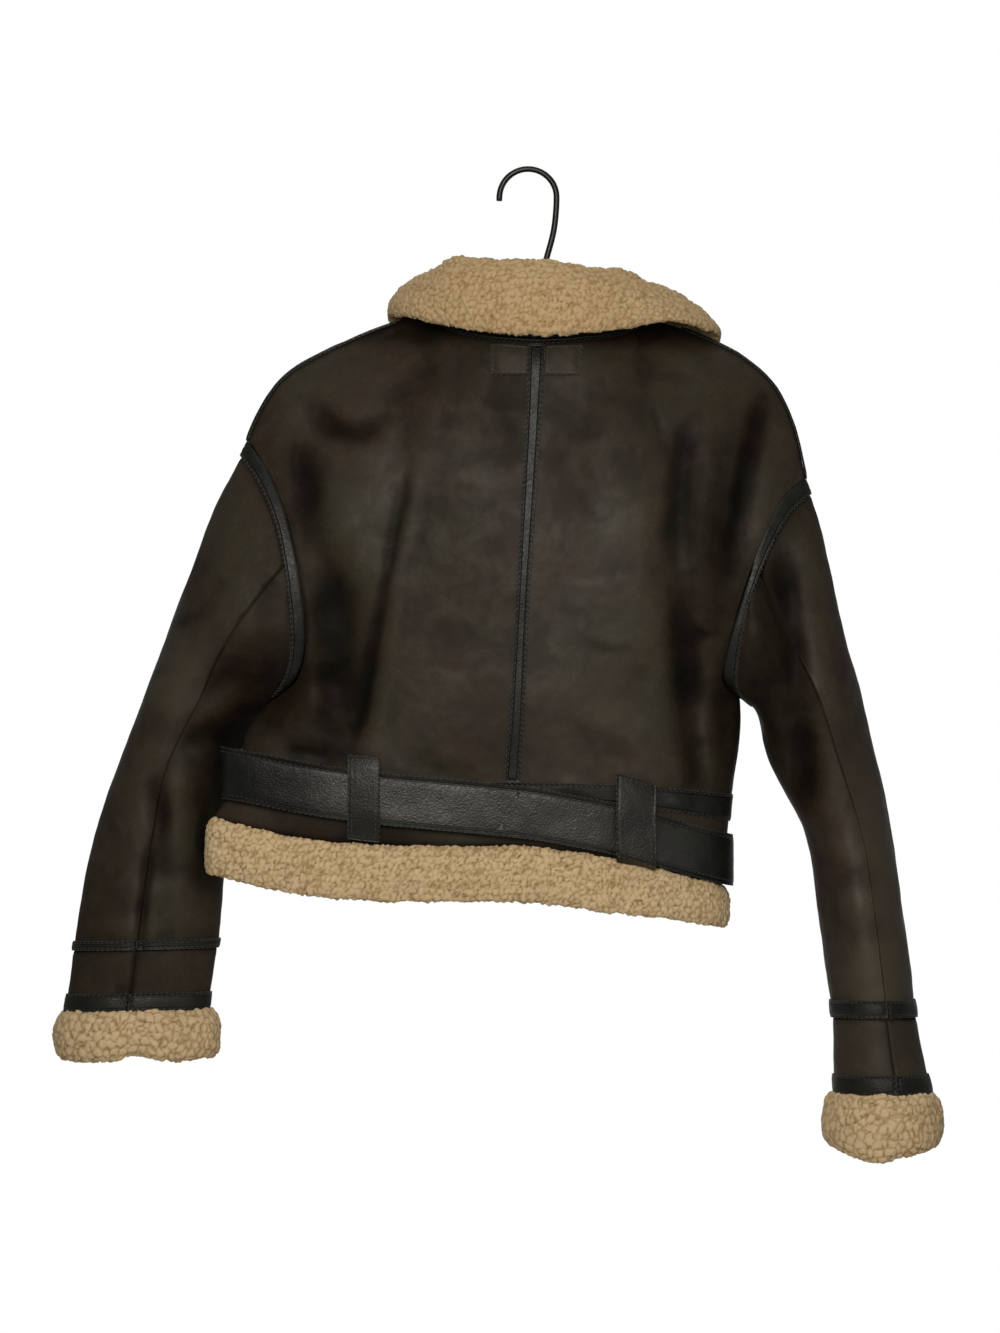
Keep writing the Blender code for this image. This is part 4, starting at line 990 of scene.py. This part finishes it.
# Where a cuff's pile is drawn in at its seam
pinches = {
    "fleece_cuff_left": {"x": -321, "half": 15, "rise": 6.0, "topShare": 0.35, "dent": 3.0},
    "fleece_cuff_right": {"x": 306, "half": 14, "rise": 3.0, "topShare": 0.35, "dent": 2.5},
}


def pinched(points, nodeName):
    # The points with their lower edge raised and their back pressed in at the seam
    if nodeName not in pinches:
        return points
    s = pinches[nodeName]
    moved = points.copy()
    share = np.exp(-((points[:, 0] / mm - s["x"]) / s["half"]) ** 2)
    low, high = points[:, 2].min(), points[:, 2].max()
    deep = smoothStep(1 - (points[:, 2] - low) / (high - low))
    middle = points[:, 1].mean()
    moved[:, 2] += share * (s["topShare"] + (1 - s["topShare"]) * deep) * s["rise"] * mm
    moved[:, 1] += share * (points[:, 1] < middle) * s["dent"] * mm
    return moved


def fleecePiece(nodeName):
    # One length of pile: the solid remeshed finely and moved out or in by its nubs
    s = pileSettings
    bm = mergedCopy(nodeName)
    name = nodeName + "_pile"
    mesh = smoothedMesh(bm, name, [
        ("SUBSURF", {"subdivision_type": "SIMPLE", "levels": 1, "render_levels": 1}),
        ("SUBSURF", {"levels": 1, "render_levels": 1}),
        ("REMESH", {"mode": "VOXEL", "voxel_size": s["cell"] * mm})])
    points, normals = readPoints(mesh), readNormals(mesh)
    size = s["cuffNub" if "cuff" in nodeName else "nub"] * mm
    tree = nubCentres(points.min(axis=0), points.max(axis=0), size)
    dome, curl, tuft, edgeCurl = np.array([nubHeight(tree, Vector(point), size) for point in points]).T
    rise = s["deep"] * (dome - 1) + s["smallDeep"] * (curl - 0.5) * dome + s["tuftDeep"] * tuft + s["proud"]
    edge = smoothStep((np.abs(normals[:, 2]) - 0.5) / 0.4)   # 1 on the upper and lower edges
    rise += edge * s["edgeDeep"] * edgeCurl
    writePoints(mesh, pinched(leaned(points + normals * (rise * mm)[:, None], nodeName), nodeName))
    # The pile height also sets the fleece's painted shade
    setAttribute(mesh, "pile", np.clip(dome * (0.6 + 0.6 * curl) + 0.25 * edge * edgeCurl, 0, 1))
    print(name, "triangles", 2 * len(mesh.polygons))
    areas[name] = sum(p.area for p in mesh.polygons) / 2
    # The collar takes the copy of the fleece painted as shade
    finish = finishes["collar" if nodeName == "collar" else "fleece"]
    return addPiece(name, mesh, [finish], [nodeName])


noise.seed_set(pileSettings["seed"])   # without it the clock shifts the noise vectors
for node in ("collar", "hem_back", "hem_front_left", "hem_front_right", "fleece_cuff_left",
             "fleece_cuff_right"):
    fleecePiece(node)
print("fleece shaped")


# Hanger and buckle: the solids, merged and rounded

hardware = [
    # node, piece, finish, slot, angle, levels, grow
    ("hanger_hook", "hook_wire", "steel", "blackened_steel", 70, 2, 0.45),
    ("hanger_arms", "hanger_plastic_arms", "plastic", "hanger_plastic", 60, 2, 0.0),
    ("buckle_frame", "buckle_steel_frame", "steel", "blackened_steel", 60, 3, 0.0),
    ("buckle_prong", "buckle_steel_prong", "steel", "blackened_steel", 60, 3, 0.0),
]
edgeHold = 0.7


def roundedPiece(nodeName, name, finish, slot, angle, levels, grow):
    # One hard piece, smoothed. Edges sharper than the angle stay fairly crisp, and grow mm thickens it
    bm = mergedCopy(nodeName)
    crease = bm.edges.layers.float.new("crease_edge")
    for edge in bm.edges:
        if edge.calc_face_angle(0.0) > math.radians(angle):
            edge[crease] = edgeHold
    mesh = smoothedMesh(bm, name, [("SUBSURF", {"levels": levels, "render_levels": levels})])
    writePoints(mesh, readPoints(mesh) + readNormals(mesh) * grow * mm)
    return addPiece(name, mesh, [finishes[finish]], [nodeName])


for row in hardware:
    roundedPiece(*row)
print("hanger and buckle shaped")


# Studio

studio = {
    "distance": 9.0, "aimX": -0.023, "aimZ": -0.406, "seenTall": 1.0931, "sensor": 36,
    "floor": -1.3, "floorHalf": 1.2, "floorColour": "#e9e7e3",
    "backdrop": 0.7, "room": 0.13, "backdropFrom": 0.9, "backdropFull": 0.985, "exposure": 0.515,
}
softBoxes = [
    # name, place, aim, size, watts, colour
    ("key", (-0.2, -2.5, 0.35), (0, 0, -0.5), (1.1, 1.1), 39, "#fff8ee"),
    ("fill", (1.5, -1.9, -0.3), (0, 0, -0.4), (1.3, 1.6), 4, "#fffaf2"),
    ("behind", (0, 1.7, 1.1), (0, 0, -0.4), (1.3, 0.8), 10, "#fffaf2"),
    ("top", (0, -0.6, 1.5), (0, 0, -0.3), (1.5, 0.8), 3, "#ffffff"),
]


def softBox(name, place, aim, size, power, colour):
    light = bpy.data.lights.new(name, "AREA")
    light.shape = "RECTANGLE"
    light.size, light.size_y = size
    light.energy = power
    light.color = toLinear(colour)[:3]
    lamp = bpy.data.objects.new(name, light)
    lamp.location = place
    lamp.rotation_euler = (Vector(aim) - Vector(place)).to_track_quat("-Z", "Y").to_euler()
    bpy.context.collection.objects.link(lamp)


def makeStudio():
    scene = bpy.context.scene
    camera = bpy.data.objects.new("camera", bpy.data.cameras.new("camera"))
    camera.location = (studio["aimX"], -studio["distance"], studio["aimZ"])
    camera.rotation_euler = Euler((math.pi / 2, 0, 0))
    camera.data.sensor_width = studio["sensor"]
    camera.data.lens = studio["sensor"] * studio["distance"] / studio["seenTall"]
    bpy.context.collection.objects.link(camera)
    scene.camera = camera
    for row in softBoxes:
        softBox(*row)
    world = bpy.data.worlds.new("studio")
    world.use_nodes = True
    sky = world.node_tree   # a white sweep in front of the camera, and a dimmer room behind it
    sky.nodes["Background"].inputs["Color"].default_value = (1, 1, 1, 1)
    towards = addNode(sky, "ShaderNodeSeparateXYZ", links={
        "Vector": addNode(sky, "ShaderNodeTexCoord").outputs["Generated"]}).outputs["Y"]
    strength = span(sky, towards, studio["backdropFrom"], studio["backdropFull"],
                    studio["room"], studio["backdrop"])
    sky.links.new(strength, sky.nodes["Background"].inputs["Strength"])
    scene.world = world
    scene.view_settings.view_transform = "Standard"
    scene.view_settings.exposure = studio["exposure"]
    floorMaterial, tree, shader = startMaterial("pale_floor", {
        "Base Color": toLinear(studio["floorColour"]), "Roughness": 0.9})
    bm = bmesh.new()
    bmesh.ops.create_grid(bm, x_segments=1, y_segments=1, size=studio["floorHalf"],
                          matrix=Matrix.Translation((0, 0, studio["floor"])))
    mesh = bpy.data.meshes.new("floor")
    bm.to_mesh(mesh)
    bm.free()
    mesh.materials.append(floorMaterial)
    floor = bpy.data.objects.new("floor", mesh)
    bpy.context.collection.objects.link(floor)


makeStudio()
print("studio set")
